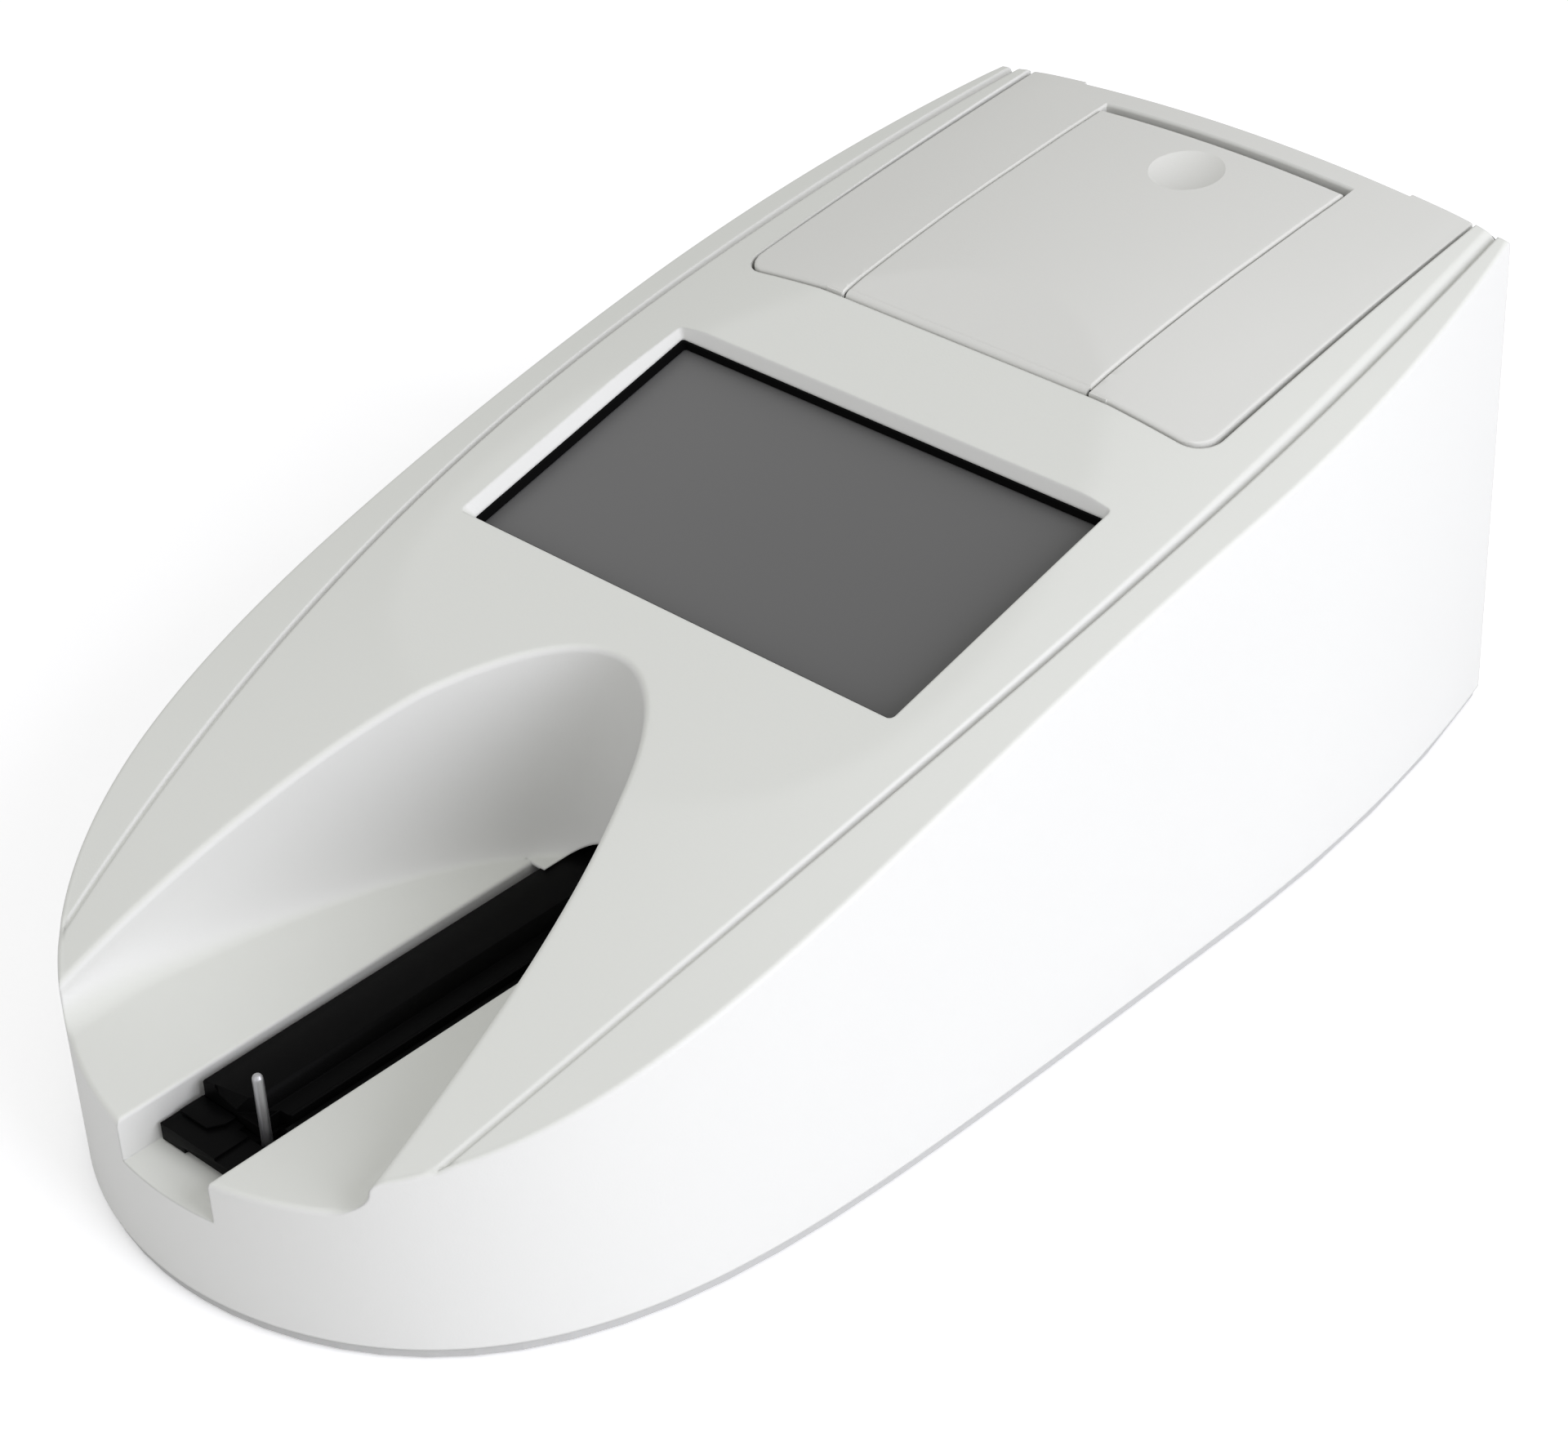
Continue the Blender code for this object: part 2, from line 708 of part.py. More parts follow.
def build_lid():
    start = hinge_y - 0.37
    ends = [(y, lid_half) for y in spaced(start, lid_rear, 14)]
    lid = panel("paper_lid", cover_rise, cover_thick, ends, "housing")
    barrel = rod("lid_barrel", (0, hinge_y, hinge_z), hinge_radius, 2 * lid_half - 0.6, "X", sides=20)
    join(lid, barrel)
    cut(lid, rod("lid_pin_hole", (0, hinge_y, hinge_z), pin_radius + gap, 80.0, "X", sides=16))
    ball = bmesh.new()
    reach = 20.0
    depth = 1.5
    middle = 127.0
    height = deck(0, middle) + cover_rise + reach - depth
    place = Matrix.Translation((0, middle, height))
    bmesh.ops.create_uvsphere(ball, u_segments=40, v_segments=40, radius=reach, matrix=place)
    cut(lid, finish(ball, "finger_dimple"))
    set_origin(lid, (0, hinge_y, hinge_z))
    rod("lid_hinge_pin", (0, hinge_y, hinge_z), pin_radius, 2 * (lid_half + 2.4), "X", "steel", sides=16)


def set_origin(obj, point):
    """Move an object's origin to a point in millimetres and leave its shape where it is."""
    place = Vector(point) * mm
    obj.data.transform(Matrix.Translation(-place))
    obj.location = place


def build_paper():
    tub = box("paper_tub", (-32.0, roll_y - 25.0, 52.0), (32.0, roll_y + 25.0, 88.0), "grey")
    cut(tub, box("tub_hollow", (-30.0, roll_y - 23.0, 56.0), (30.0, roll_y + 23.0, 100.0)))
    trough = rod("tub_trough", (0, roll_y, roll_z), roll_radius + gap, 60.0, "X", sides=40)
    cut(tub, trough)
    shelf_rear = platen_y - 1.0
    shelf = (-34.0, roll_y + 24.0, printer_low - gap - 3.0)
    join(tub, box("tub_shelf", shelf, (34.0, shelf_rear, printer_low - gap)))
    leg_low = board_z + board_thick + gap
    for x in (-29.0, 29.0):
        for y in (roll_y - 22.0, roll_y + 22.0):
            leg = box(f"tub_leg_{x:.0f}_{y:.0f}", (x - 3.0, y - 3.0, leg_low), (x + 3.0, y + 3.0, 53.0))
            join(tub, leg)
    bm = bmesh.new()
    add_rod(bm, (0, roll_y, roll_z), roll_radius, 2 * roll_half, "X", 40)
    roll = finish(bm, "paper_roll", "paper")
    cut(roll, rod("roll_core_hole", (0, roll_y, roll_z), 6.0, 80.0, "X", sides=32))


def build_printer():
    low = (-36.0, platen_y - 8.0, printer_low)
    frame = box("printer_mechanism", low, (36.0, platen_y + 7.5, printer_high), "grey")
    hollow = box("printer_hollow", (-30.5, platen_y - 5.4, 84.0), (30.5, platen_y + 5.4, 110.0))
    cut(frame, hollow)
    cut(frame, rod("platen_bearing", (0, platen_y, platen_z), 1.5 + gap, 100.0, "X", sides=20))
    join(frame, box("thermal_head", (-29.0, platen_y - 5.6, 84.5), (29.0, platen_y - 4.85, 94.0)))
    axis = (0, platen_y, platen_z)
    platen = rod("platen_roller", axis, platen_radius, 2 * platen_half, "X", "rubber", sides=28)
    shaft = rod("platen_shaft", (1.5, platen_y, platen_z), 1.5, 2 * platen_half + 19.0, "X", sides=20)
    join(platen, shaft)
    set_origin(platen, (0, platen_y, platen_z))
    gear = gear_blank("platen_gear", 18, 0.5, 1.5 + gap, "white")
    gear.location = Vector((38.4, platen_y, platen_z)) * mm
    gear.rotation_euler = (0, math.radians(90), 0)
    low = (-29.0, slot_rear - 3.4, printer_high + 1.6)
    bar = box("tear_bar", low, (29.0, slot_rear - 2.4, printer_high + 6.0), "steel")
    foot_low = printer_high + gap
    join(bar, box("tear_foot", (-29.0, slot_rear - 6.2, foot_low), (29.0, slot_rear - 2.5, foot_low + 1.6)))


def gear_outline(teeth, size, thin=0.0):
    """Straight-flanked gear outline with a little backlash."""
    pitch = teeth * size / 2
    made = []
    for tooth in range(teeth):
        middle = 2 * math.pi * tooth / teeth
        for radius, half in (
            (pitch - 1.2 * size, 0.98 * size + thin),
            (pitch, 0.66 * size + thin),
            (pitch + size, 0.3 * size + thin),
        ):
            made.append((radius, middle - half / radius))
        for radius, half in (
            (pitch + size, 0.3 * size + thin),
            (pitch, 0.66 * size + thin),
            (pitch - 1.2 * size, 0.98 * size + thin),
        ):
            made.append((radius, middle + half / radius))
    return [(r * math.cos(a), r * math.sin(a)) for r, a in made]


def gear_blank(name, teeth, size, bore, kind):
    gear = prism(name, gear_outline(teeth, size), -1.2, 1.2, kind)
    hole = rod(name + "_bore", (0, 0, 0), bore, 8.0, "Z", sides=20)
    hole.parent = gear
    cut(gear, hole)
    return gear


def build_tray():
    carriage = box(
        "tray_carriage", (-tray_half, tray_front, tray_bottom), (tray_half, tray_rear, tray_top), "black"
    )
    gullets = bmesh.new()
    teeth_behind = int(tray_travel / tooth_pitch) + 2
    for k in range(-teeth_behind, 2):
        y = pinion_y + k * tooth_pitch
        root = rack_line - 1.25 * module
        outline = (
            (root, y - 0.45),
            (root, y + 0.45),
            (tray_half + 1.0, y + 1.35),
            (tray_half + 1.0, y - 1.35),
        )
        add_prism(gullets, outline, tray_bottom - 1.0, tray_top - 0.4)
    cut(carriage, finish(gullets, "rack_gullets"))
    pocket = box("insert_pocket", (-10.4, pin_y - gap, 24.8), (7.6, -8.0, tray_top + 1.0))
    cut(carriage, pocket)
    cut(carriage, box("pin_slot", (pin_x - 1.5, pin_y - 1.6, 20.0), (pin_x + 1.5, pin_y + 4.0, 30.0)))
    cut(carriage, box("pin_slot_side", (pin_x - 5.5, pin_y - 1.6, 25.2), (pin_x + 1.5, pin_y + 1.4, 30.0)))
    lip = box("tray_lip", (-5.0, tray_front - 1.0, 20.0), (tray_half + 1.0, tray_front + 2.6, 23.4))
    cut(carriage, lip)
    rail = box("tray_rail", (7.9, pin_y + 2.7, tray_top - 0.6), (tray_half, -4.0, tray_top + 1.3))
    join(carriage, rail)

    profile = [
        (-10.1, 25.1), (-10.1, 29.8), (-9.7, 30.3), (1.2, 30.9), (2.2, 30.0), (2.6, 28.0),
        (6.4, 28.0), (6.8, 28.4), (7.3, 28.4), (7.3, 25.1),
    ]
    bm = bmesh.new()
    rings = []
    for y in (pin_y, -8.0 - gap):
        rings.append([bm.verts.new((x, y, z)) for x, z in profile])
    for a in range(len(profile)):
        b = (a + 1) % len(profile)
        bm.faces.new((rings[0][a], rings[0][b], rings[1][b], rings[1][a]))
    bm.faces.new(rings[0])
    bm.faces.new(rings[1])
    insert = finish(bm, "strip_insert", "black")
    wedge = bmesh.new()
    front = pin_y - 3.3
    add_prism(wedge, ((-5.6, front), (4.0, front + 7.8), (4.0, front)), 27.4, 34.0)
    cut(insert, finish(wedge, "insert_wedge"))
    cut(insert, box("insert_pin_gap", (pin_x - 2.0, pin_y - 3.0, 20.0), (pin_x + 2.0, pin_y + 5.0, 40.0)))
    cut(insert, box("pad_window", (2.9, -52.7, 27.4), (6.1, -43.7, 30.0)))
    box("reference_pad", (3.2, -52.4, 27.7), (5.8, -44.0, 28.3), "white")

    low = (-10.3, pin_y - 5.5, tray_top + gap)
    front_plate = box("insert_front_plate", low, (-1.4, pin_y - gap, tray_top + 0.9), "black")
    corner = bmesh.new()
    front = pin_y - 6.3
    add_prism(corner, ((-1.0, front), (-1.0, front + 4.4), (-3.6, front)), 25.0, 30.0)
    cut(front_plate, finish(corner, "plate_corner"))

    pin = rod("detector_pin", (pin_x, pin_y, 31.0), 1.0, 16.2, "Z", "steel", sides=20)
    tip = bmesh.new()
    place = Matrix.Translation((pin_x, pin_y, 39.1))
    bmesh.ops.create_uvsphere(tip, u_segments=20, v_segments=10, radius=1.0, matrix=place)
    join(pin, finish(tip, "pin_tip"))
    axle = rod("pin_axle", (pin_x, pin_y, pin_axle_z), 0.6, 2.4, "X", sides=12)
    join(pin, axle)
    set_origin(pin, (pin_x, pin_y, pin_axle_z))


def add_prism(bm, outline, low, high):
    bottom = [bm.verts.new((x, y, low)) for x, y in outline]
    upper = [bm.verts.new((x, y, high)) for x, y in outline]
    for a in range(len(outline)):
        b = (a + 1) % len(outline)
        bm.faces.new((bottom[a], bottom[b], upper[b], upper[a]))
    bm.faces.new(bottom)
    bm.faces.new(upper)


def build_drive():
    guide = box("tray_guide", (-14.6, -32.0, guide_low), (14.6, 94.0, 27.2), "grey")
    track = tray_half + gap
    cut(guide, box("guide_track", (-track, -40.0, tray_bottom - gap), (track, 100.0, 40.0)))
    cut(guide, box("guide_window", (9.0, pinion_y - 8.6, 21.6), (20.0, pinion_y + 8.6, 40.0)))
    floor = shell_base
    can_top = guide_low - 0.8
    can = (pinion_x + 0.6, pinion_y, (floor + can_top) / 2)
    motor = rod("tray_motor", can, 12.2, can_top - floor, "Z", "steel", sides=28)
    join(motor, rod("motor_nose", (pinion_x, pinion_y, 18.6), 2.3, 2.0, "Z", sides=20))
    join(motor, rod("motor_shaft", (pinion_x, pinion_y, 22.0), 1.0, 9.0, "Z", sides=16))
    pinion = gear_blank("tray_pinion", pinion_teeth, module, 1.0 + gap, "white")
    pinion.location = Vector((pinion_x, pinion_y, 23.9)) * mm
    pinion.rotation_euler = (0, 0, math.radians(180.0))
    head = box("measuring_head", (-16.5, -28.0, 33.6), (16.5, -7.5, 42.6), "black")
    for side in (-1, 1):
        low, high = sorted((side * 14.9, side * 16.5))
        join(head, box(f"head_leg_{side}", (low, -28.0, 20.0), (high, -18.0, 34.0)))
    cut(head, box("head_window", (1.6, -24.0, 30.0), (6.6, -12.0, 40.0)))


def build_board():
    low = (-board_half, board_front, board_z)
    board = box("main_board", low, (board_half, board_rear, board_z + board_thick), "board")
    top = board_z + board_thick - 0.2
    chips = (
        ((-30, 30), (14, 14, 1.8)),
        ((-8, 34), (8, 12, 1.6)),
        ((12, 28), (10, 10, 1.6)),
        ((-32, 60), (6, 9, 3.4)),
        ((-20, 62), (5, 5, 4.4)),
        ((30, 50), (12, 8, 3.0)),
        ((38, 24), (8, 16, 4.2)),
        ((2, 118), (16, 7, 2.4)),
    )
    for number, ((x, y), (wide, deep, high)) in enumerate(chips):
        low = (x - wide / 2, y - deep / 2, top)
        join(board, box(f"chip_{number}", low, (x + wide / 2, y + deep / 2, top + high)))
    for number, (x, y) in enumerate(board_posts()):
        cut(board, rod(f"board_hole_{number}", (x, y, board_z), 1.6, 8.0, "Z", sides=16))


def build_ports():
    rear = half_length
    serial = port_places["serial"]
    low = (serial - 15.3, rear - 8.0, port_height - 6.0)
    shell = box("serial_port", low, (serial + 15.3, rear - 0.4, port_height + 6.0), "steel")
    low = (serial - 8.2, rear - 5.4, port_height - 3.8)
    cut(shell, box("serial_mouth", low, (serial + 8.2, rear + 2.0, port_height + 3.8)))
    keyboard = port_places["keyboard"]
    socket = rod("keyboard_port", (keyboard, rear - 4.6, port_height), 6.7, 8.4, "Y", "black", sides=28)
    mouth = rod("keyboard_mouth", (keyboard, rear, port_height), 4.6, 8.0, "Y", sides=28)
    cut(socket, mouth)
    inlet = port_places["inlet"]
    jack = rod("power_inlet", (inlet, rear - 4.8, port_height), 4.7, 8.8, "Y", "black", sides=24)
    cut(jack, rod("inlet_mouth", (inlet, rear, port_height), 3.0, 14.0, "Y", sides=24))
    join(jack, rod("inlet_needle", (inlet, rear - 5.2, port_height), 0.9, 7.6, "Y", sides=12))
    switch = port_places["switch"]
    low = (switch - 9.5, rear - 8.0, port_height - 6.5)
    frame = box("switch_frame", low, (switch + 9.5, rear - 0.2, port_height + 6.5), "black")
    low = (switch - 7.4, rear - 6.6, port_height - 5.0)
    cut(frame, box("switch_hollow", low, (switch + 7.4, rear + 2.0, port_height + 5.0)))
    axis = (switch, rear - rocker_depth, port_height)
    cut(frame, rod("switch_bearing", axis, 0.6 + gap, 17.0, "X", sides=12))
    bm = bmesh.new()
    add_prism(bm, ((-3.9, 2.4), (0.0, 1.0), (3.9, 1.0), (2.4, -2.4), (-2.4, -2.4)), -6.9, 6.9)
    axle = rod("rocker_axle", (0, 0, 0), 0.6, 16.2, "Z", sides=12)
    rocker = finish(bm, "power_rocker", "black")
    axle.parent = rocker
    join(rocker, axle)
    rocker.rotation_euler = (0, math.radians(-90), 0)
    rocker.location = Vector(axis) * mm


housing = build_housing()
base = build_base()
build_feet()
build_screws()
build_display()
build_cover()
build_lid()
build_paper()
build_printer()
build_tray()
build_drive()
build_board()
build_ports()
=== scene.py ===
import math

import bpy
from mathutils import Matrix, Vector
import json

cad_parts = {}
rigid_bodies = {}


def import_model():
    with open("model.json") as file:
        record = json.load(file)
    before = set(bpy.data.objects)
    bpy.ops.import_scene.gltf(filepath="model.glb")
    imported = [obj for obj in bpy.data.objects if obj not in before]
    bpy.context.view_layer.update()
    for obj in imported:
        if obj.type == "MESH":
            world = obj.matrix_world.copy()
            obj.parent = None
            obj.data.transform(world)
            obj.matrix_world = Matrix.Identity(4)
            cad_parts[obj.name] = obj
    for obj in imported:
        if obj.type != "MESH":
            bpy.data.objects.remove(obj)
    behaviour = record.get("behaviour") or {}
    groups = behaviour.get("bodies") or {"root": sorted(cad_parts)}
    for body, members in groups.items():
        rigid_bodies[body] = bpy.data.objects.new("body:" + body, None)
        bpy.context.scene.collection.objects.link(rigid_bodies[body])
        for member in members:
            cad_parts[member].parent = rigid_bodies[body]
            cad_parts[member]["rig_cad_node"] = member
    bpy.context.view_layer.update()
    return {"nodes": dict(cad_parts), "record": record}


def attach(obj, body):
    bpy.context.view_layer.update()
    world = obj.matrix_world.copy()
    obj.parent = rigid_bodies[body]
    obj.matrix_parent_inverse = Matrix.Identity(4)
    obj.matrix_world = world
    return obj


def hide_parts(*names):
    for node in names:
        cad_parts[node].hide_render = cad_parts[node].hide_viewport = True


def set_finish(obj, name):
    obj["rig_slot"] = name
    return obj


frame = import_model()
mm = 0.001
bodyOf = {node: body for body, nodes in frame["record"]["behaviour"]["bodies"].items() for node in nodes}
slotOf = {row["node"]: row["material_slot"] for row in frame["record"]["subparts"]}
print("frame loaded")


# small modelling helpers

def deselectAll():
    for obj in bpy.context.view_layer.objects:
        obj.select_set(False)


def pick(obj):
    deselectAll()
    obj.select_set(True)
    bpy.context.view_layer.objects.active = obj
    return obj


def applyModifiers(obj):
    pick(obj)
    for modifier in list(obj.modifiers):
        bpy.ops.object.modifier_apply(modifier=modifier.name)
    return obj


def bakePlace(obj):
    pick(obj)
    bpy.ops.object.transform_apply(location=True, rotation=True, scale=True)
    return obj


def boolean(obj, other, operation="DIFFERENCE"):
    step = obj.modifiers.new(other.name, "BOOLEAN")
    step.operation = operation
    step.solver = "EXACT"
    step.object = other
    applyModifiers(obj)
    bpy.data.objects.remove(other, do_unlink=True)
    return obj


def cleanMesh(obj, distance=0.002):
    pick(obj)
    bpy.ops.object.mode_set(mode="EDIT")
    bpy.ops.mesh.select_all(action="SELECT")
    bpy.ops.mesh.remove_doubles(threshold=distance * mm)
    bpy.ops.mesh.dissolve_degenerate(threshold=distance * mm / 2)
    bpy.ops.mesh.select_all(action="SELECT")
    bpy.ops.mesh.normals_make_consistent(inside=False)
    bpy.ops.object.mode_set(mode="OBJECT")
    return obj


def smooth(obj, angle=35):
    pick(obj)
    bpy.ops.object.shade_smooth_by_angle(angle=math.radians(angle))
    return obj


def evenShade(obj, angle=35):
    # large faces set the shading, so that thin slivers beside a cut don't show
    smooth(obj, angle)
    step = obj.modifiers.new("shade", "WEIGHTED_NORMAL")
    step.keep_sharp = True
    step.weight = 50
    return applyModifiers(obj)


def cube(name, low, high):
    deselectAll()
    bpy.ops.mesh.primitive_cube_add(size=1, location=[(a + b) / 2 * mm for a, b in zip(low, high)])
    obj = bpy.context.object
    obj.name = name
    obj.scale = [(b - a) * mm for a, b in zip(low, high)]
    return bakePlace(obj)


def cylinder(name, middle, radius, depth, axis="Z", sides=48):
    turns = {"X": (0, math.radians(90), 0), "Y": (math.radians(-90), 0, 0), "Z": (0, 0, 0)}
    deselectAll()
    bpy.ops.mesh.primitive_cylinder_add(
        vertices=sides, radius=radius * mm, depth=depth * mm,
        location=[v * mm for v in middle], rotation=turns[axis],
    )
    obj = bpy.context.object
    obj.name = name
    return bakePlace(obj)


def meshObject(name, points, faces, merge=0.002):
    # for the curved forms that no primitive comes near, with points in millimetres
    mesh = bpy.data.meshes.new(name)
    mesh.from_pydata([[v * mm for v in point] for point in points], [], faces)
    obj = bpy.data.objects.new(name, mesh)
    bpy.context.scene.collection.objects.link(obj)
    return cleanMesh(obj, merge)


def skin(name, rings, ends=True):
    # a skin from ring to ring of points, like Bridge Edge Loops
    count = len(rings[0])
    faces = []
    for i in range(len(rings) - 1):
        for j in range(count):
            k = (j + 1) % count
            faces.append((i * count + j, i * count + k, (i + 1) * count + k, (i + 1) * count + j))
    if ends:
        last = (len(rings) - 1) * count
        faces.append(tuple(range(count)))
        faces.append(tuple(last + j for j in range(count)))
    return meshObject(name, [point for ring in rings for point in ring], faces)


def standFor(obj, node):
    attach(obj, bodyOf[node])
    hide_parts(node)
    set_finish(obj, slotOf[node])
    return obj


# the moulded outline and deck, as curves in millimetres

hull = {
    "halfLength": 145.0, "widest": 75.1, "widestAt": 0.677, "bowPower": 5.46, "bowRoot": 1.944,
    "rearNarrowing": 11.85, "bottom": 2.8, "wall": 2.5, "edge": 1.1,
    "rearLift": 0.95, "liftFrom": 47.0, "liftOver": 8.0, "liftStart": 60.0, "liftRun": 85.0,
    "grooveHalf": (66.93, 6.96, -14.93, 1.23), "grooveHeight": (80.79, 31.67, -12.83, 3.78),
    "crown": (0.00105, 0.0009, -0.0005), "facetHeight": 81.88, "facetTilt": math.radians(13.635),
}


def halfWidth(y):
    t = min(max((y + hull["halfLength"]) / (2 * hull["halfLength"]), 0.0), 1.0)
    if t < hull["widestAt"]:
        closing = max(0.0, 1 - (1 - t / hull["widestAt"]) ** hull["bowPower"])
        return hull["widest"] * closing ** (1 / hull["bowRoot"])
    return hull["widest"] - hull["rearNarrowing"] * ((t - hull["widestAt"]) / (1 - hull["widestAt"])) ** 2


def series(terms, s):
    return sum(term * s ** power for power, term in enumerate(terms))


def deck(x, y):
    s = y / hull["halfLength"]
    crown = max(0.0003, series(hull["crown"], s))
    top = series(hull["grooveHeight"], s) + crown * (series(hull["grooveHalf"], s) ** 2 - x * x)
    return min(top, hull["facetHeight"] + math.tan(hull["facetTilt"]) * y)


def easeStep(value):
    t = min(max(value, 0.0), 1.0)
    return t * t * (3 - 2 * t)


def housingTop(x, y):
    # the strips beside the cover come up to it at the rear
    sideways = easeStep((abs(x) - hull["liftFrom"]) / hull["liftOver"])
    return deck(x, y) + hull["rearLift"] * sideways * easeStep((y - hull["liftStart"]) / hull["liftRun"])


groove = {
    "depth": 1.4, "slope": (0.7, 1.5), "inner": -0.4, "outer": 0.1, "outerEnd": 0.6,
    "runOut": 3.0, "runPast": 3.3, "noseShare": 0.4, "fineFrom": 2.7, "fineStep": 0.14,
}


def grooveDrop(x, y):
    across = abs(x) - series(hull["grooveHalf"], y / hull["halfLength"])
    # the inner side is a slope that gets wider and deeper towards the rear
    width = groove["slope"][0] + groove["slope"][1] * easeStep((y + 20) / 150)
    rise = min(max((across - groove["inner"]) / width + 1, 0.0), 1.0) ** 1.7
    fall = easeStep((across - groove["outer"]) / (groove["outerEnd"] - groove["outer"]))
    # it runs out through the rounded edge near the nose
    room = halfWidth(y) - hull["edge"] - series(hull["grooveHalf"], y / hull["halfLength"])
    share = groove["noseShare"]
    depth = groove["depth"] * (share + (1 - share) * easeStep((y + 115) / 110))
    return depth * (rise - fall) * easeStep((room + groove["runPast"]) / groove["runOut"])


def insetPoint(y, inset):
    edge = hull["halfLength"]
    if y >= edge - 1e-6:
        return halfWidth(y) - inset, edge - inset
    if y <= -edge + 1e-6:
        return 0.0, -edge + inset
    step = 0.02
    run = Vector((halfWidth(y + step) - halfWidth(y - step), min(y + step, edge) - max(y - step, -edge)))
    run.normalize()
    return halfWidth(y) - inset * run.y, y + inset * run.x


def acrossStations(limit, y, detail):
    # half of the deck from the middle to the edge, closer together over the groove
    if not detail:
        return [limit * math.sin(math.pi / 2 * k / 8) for k in range(9)]
    line = series(hull["grooveHalf"], y / hull["halfLength"])
    start = line - groove["fineFrom"]
    made = [start * k / 28 for k in range(29)]
    made += [start + groove["fineStep"] * k for k in range(1, 26)]
    made += [line + 0.8 + 3.0 * k / 7 for k in range(1, 8)]
    count = len(made)
    made = [min(x, limit - (count - 1 - k) * 0.012) for k, x in enumerate(made)]
    made[-1] = limit
    return [max(x, 0.004 * k) for k, x in enumerate(made)]


def hullBlock(name, inset, drop, bottom, radius, rows, detail):
    edge = hull["halfLength"]
    stations = [-edge] + [-edge + 2 * edge * (i / rows) ** 2.1 for i in range(1, rows)] + [edge]
    steps = 10 if detail else 2
    top, rim = [], []
    for y in stations:
        rim.append(insetPoint(y, inset))
        xIn, yIn = insetPoint(y, inset + radius)
        half = acrossStations(max(xIn, 0.3 if detail else 0.0), yIn, detail)
        row = [-x for x in reversed(half[1:])] + half
        if y <= -edge + 1e-6:
            row = [x * 1e-4 for x in row]
        heights = [housingTop(x, yIn) - drop - (grooveDrop(x, yIn) if detail else 0.0) for x in row]
        top.append([(x, yIn, z) for x, z in zip(row, heights)])
    count = len(top[0])
    last = len(stations) - 1
    faces, points = [], []
    index = {}
    for i, row in enumerate(top):
        for j, point in enumerate(row):
            index[i, j] = len(points)
            points.append(point)
    for i in range(last):
        for j in range(count - 1):
            faces.append((index[i, j], index[i, j + 1], index[i + 1, j + 1], index[i + 1, j]))
    loop = [(i, 0) for i in range(last, -1, -1)] + [(i, count - 1) for i in range(1, last + 1)]
    loop += [(last, j) for j in range(count - 2, 0, -1)]
    ring = [index[key] for key in loop]
    edges = []
    for i, j in loop:
        x, y, z = top[i][j]
        xRim, yRim = rim[i]
        if j == 0:
            edges.append((-xRim, yRim))
        elif j == count - 1:
            edges.append((xRim, yRim))
        else:
            edges.append((x * xRim / top[last][count - 1][0], yRim))
    starts = [top[i][j] for i, j in loop]
    for k in range(1, steps + 2):
        angle = math.pi / 2 * min(k, steps) / steps
        new = []
        for start, (xEdge, yEdge) in zip(starts, edges):
            reach = math.sin(angle)
            x = start[0] + (xEdge - start[0]) * reach
            y = start[1] + (yEdge - start[1]) * reach
            z = bottom if k > steps else start[2] - radius * (1 - math.cos(angle))
            if detail and k < steps:
                z += (grooveDrop(start[0], start[1]) - grooveDrop(x, y)) * math.cos(angle) ** 0.5
            points.append((x, y, z))
            new.append(len(points) - 1)
        for a in range(len(ring)):
            b = (a + 1) % len(ring)
            faces.append((ring[a], ring[b], new[b], new[a]))
        ring = new
    faces.append(tuple(ring))
    return meshObject(name, points, faces, 0.003)


scoopForm = {
    "centre": -153.0, "long": 120.0, "half": 41.0, "wall": 6.5,
    "shelfEdge": 12.8, "shelf": 30.7, "slope": 0.15, "noseSlopeCut": 0.62, "rimRound": 1.5,
}


def scoopRim(angle, grow, radius):
    form = scoopForm
    out = Vector((math.sin(angle) / (form["half"] + grow), math.cos(angle) / (form["long"] + grow)))
    out.normalize()
    rimX = (form["half"] + grow) * math.sin(angle)
    rimY = form["centre"] + (form["long"] + grow) * math.cos(angle)
    rimZ = deck(min(rimX, form["half"]), rimY)
    slope = (deck(rimX + out.x * 2, rimY + out.y * 2) - rimZ) / 2
    tilt = math.atan(slope)
    return out, rimX, rimY, tilt, rimZ + radius * (slope - 1 / math.cos(tilt))


def scoopFoot(x, y):
    # the floor rises towards the sides, and less so at the nose
    slope = scoopForm["slope"] * (1 - scoopForm["noseSlopeCut"] * easeStep((-116.0 - y) / 24.0))
    return scoopForm["shelf"] + slope * max(0.0, abs(x) - scoopForm["shelfEdge"])


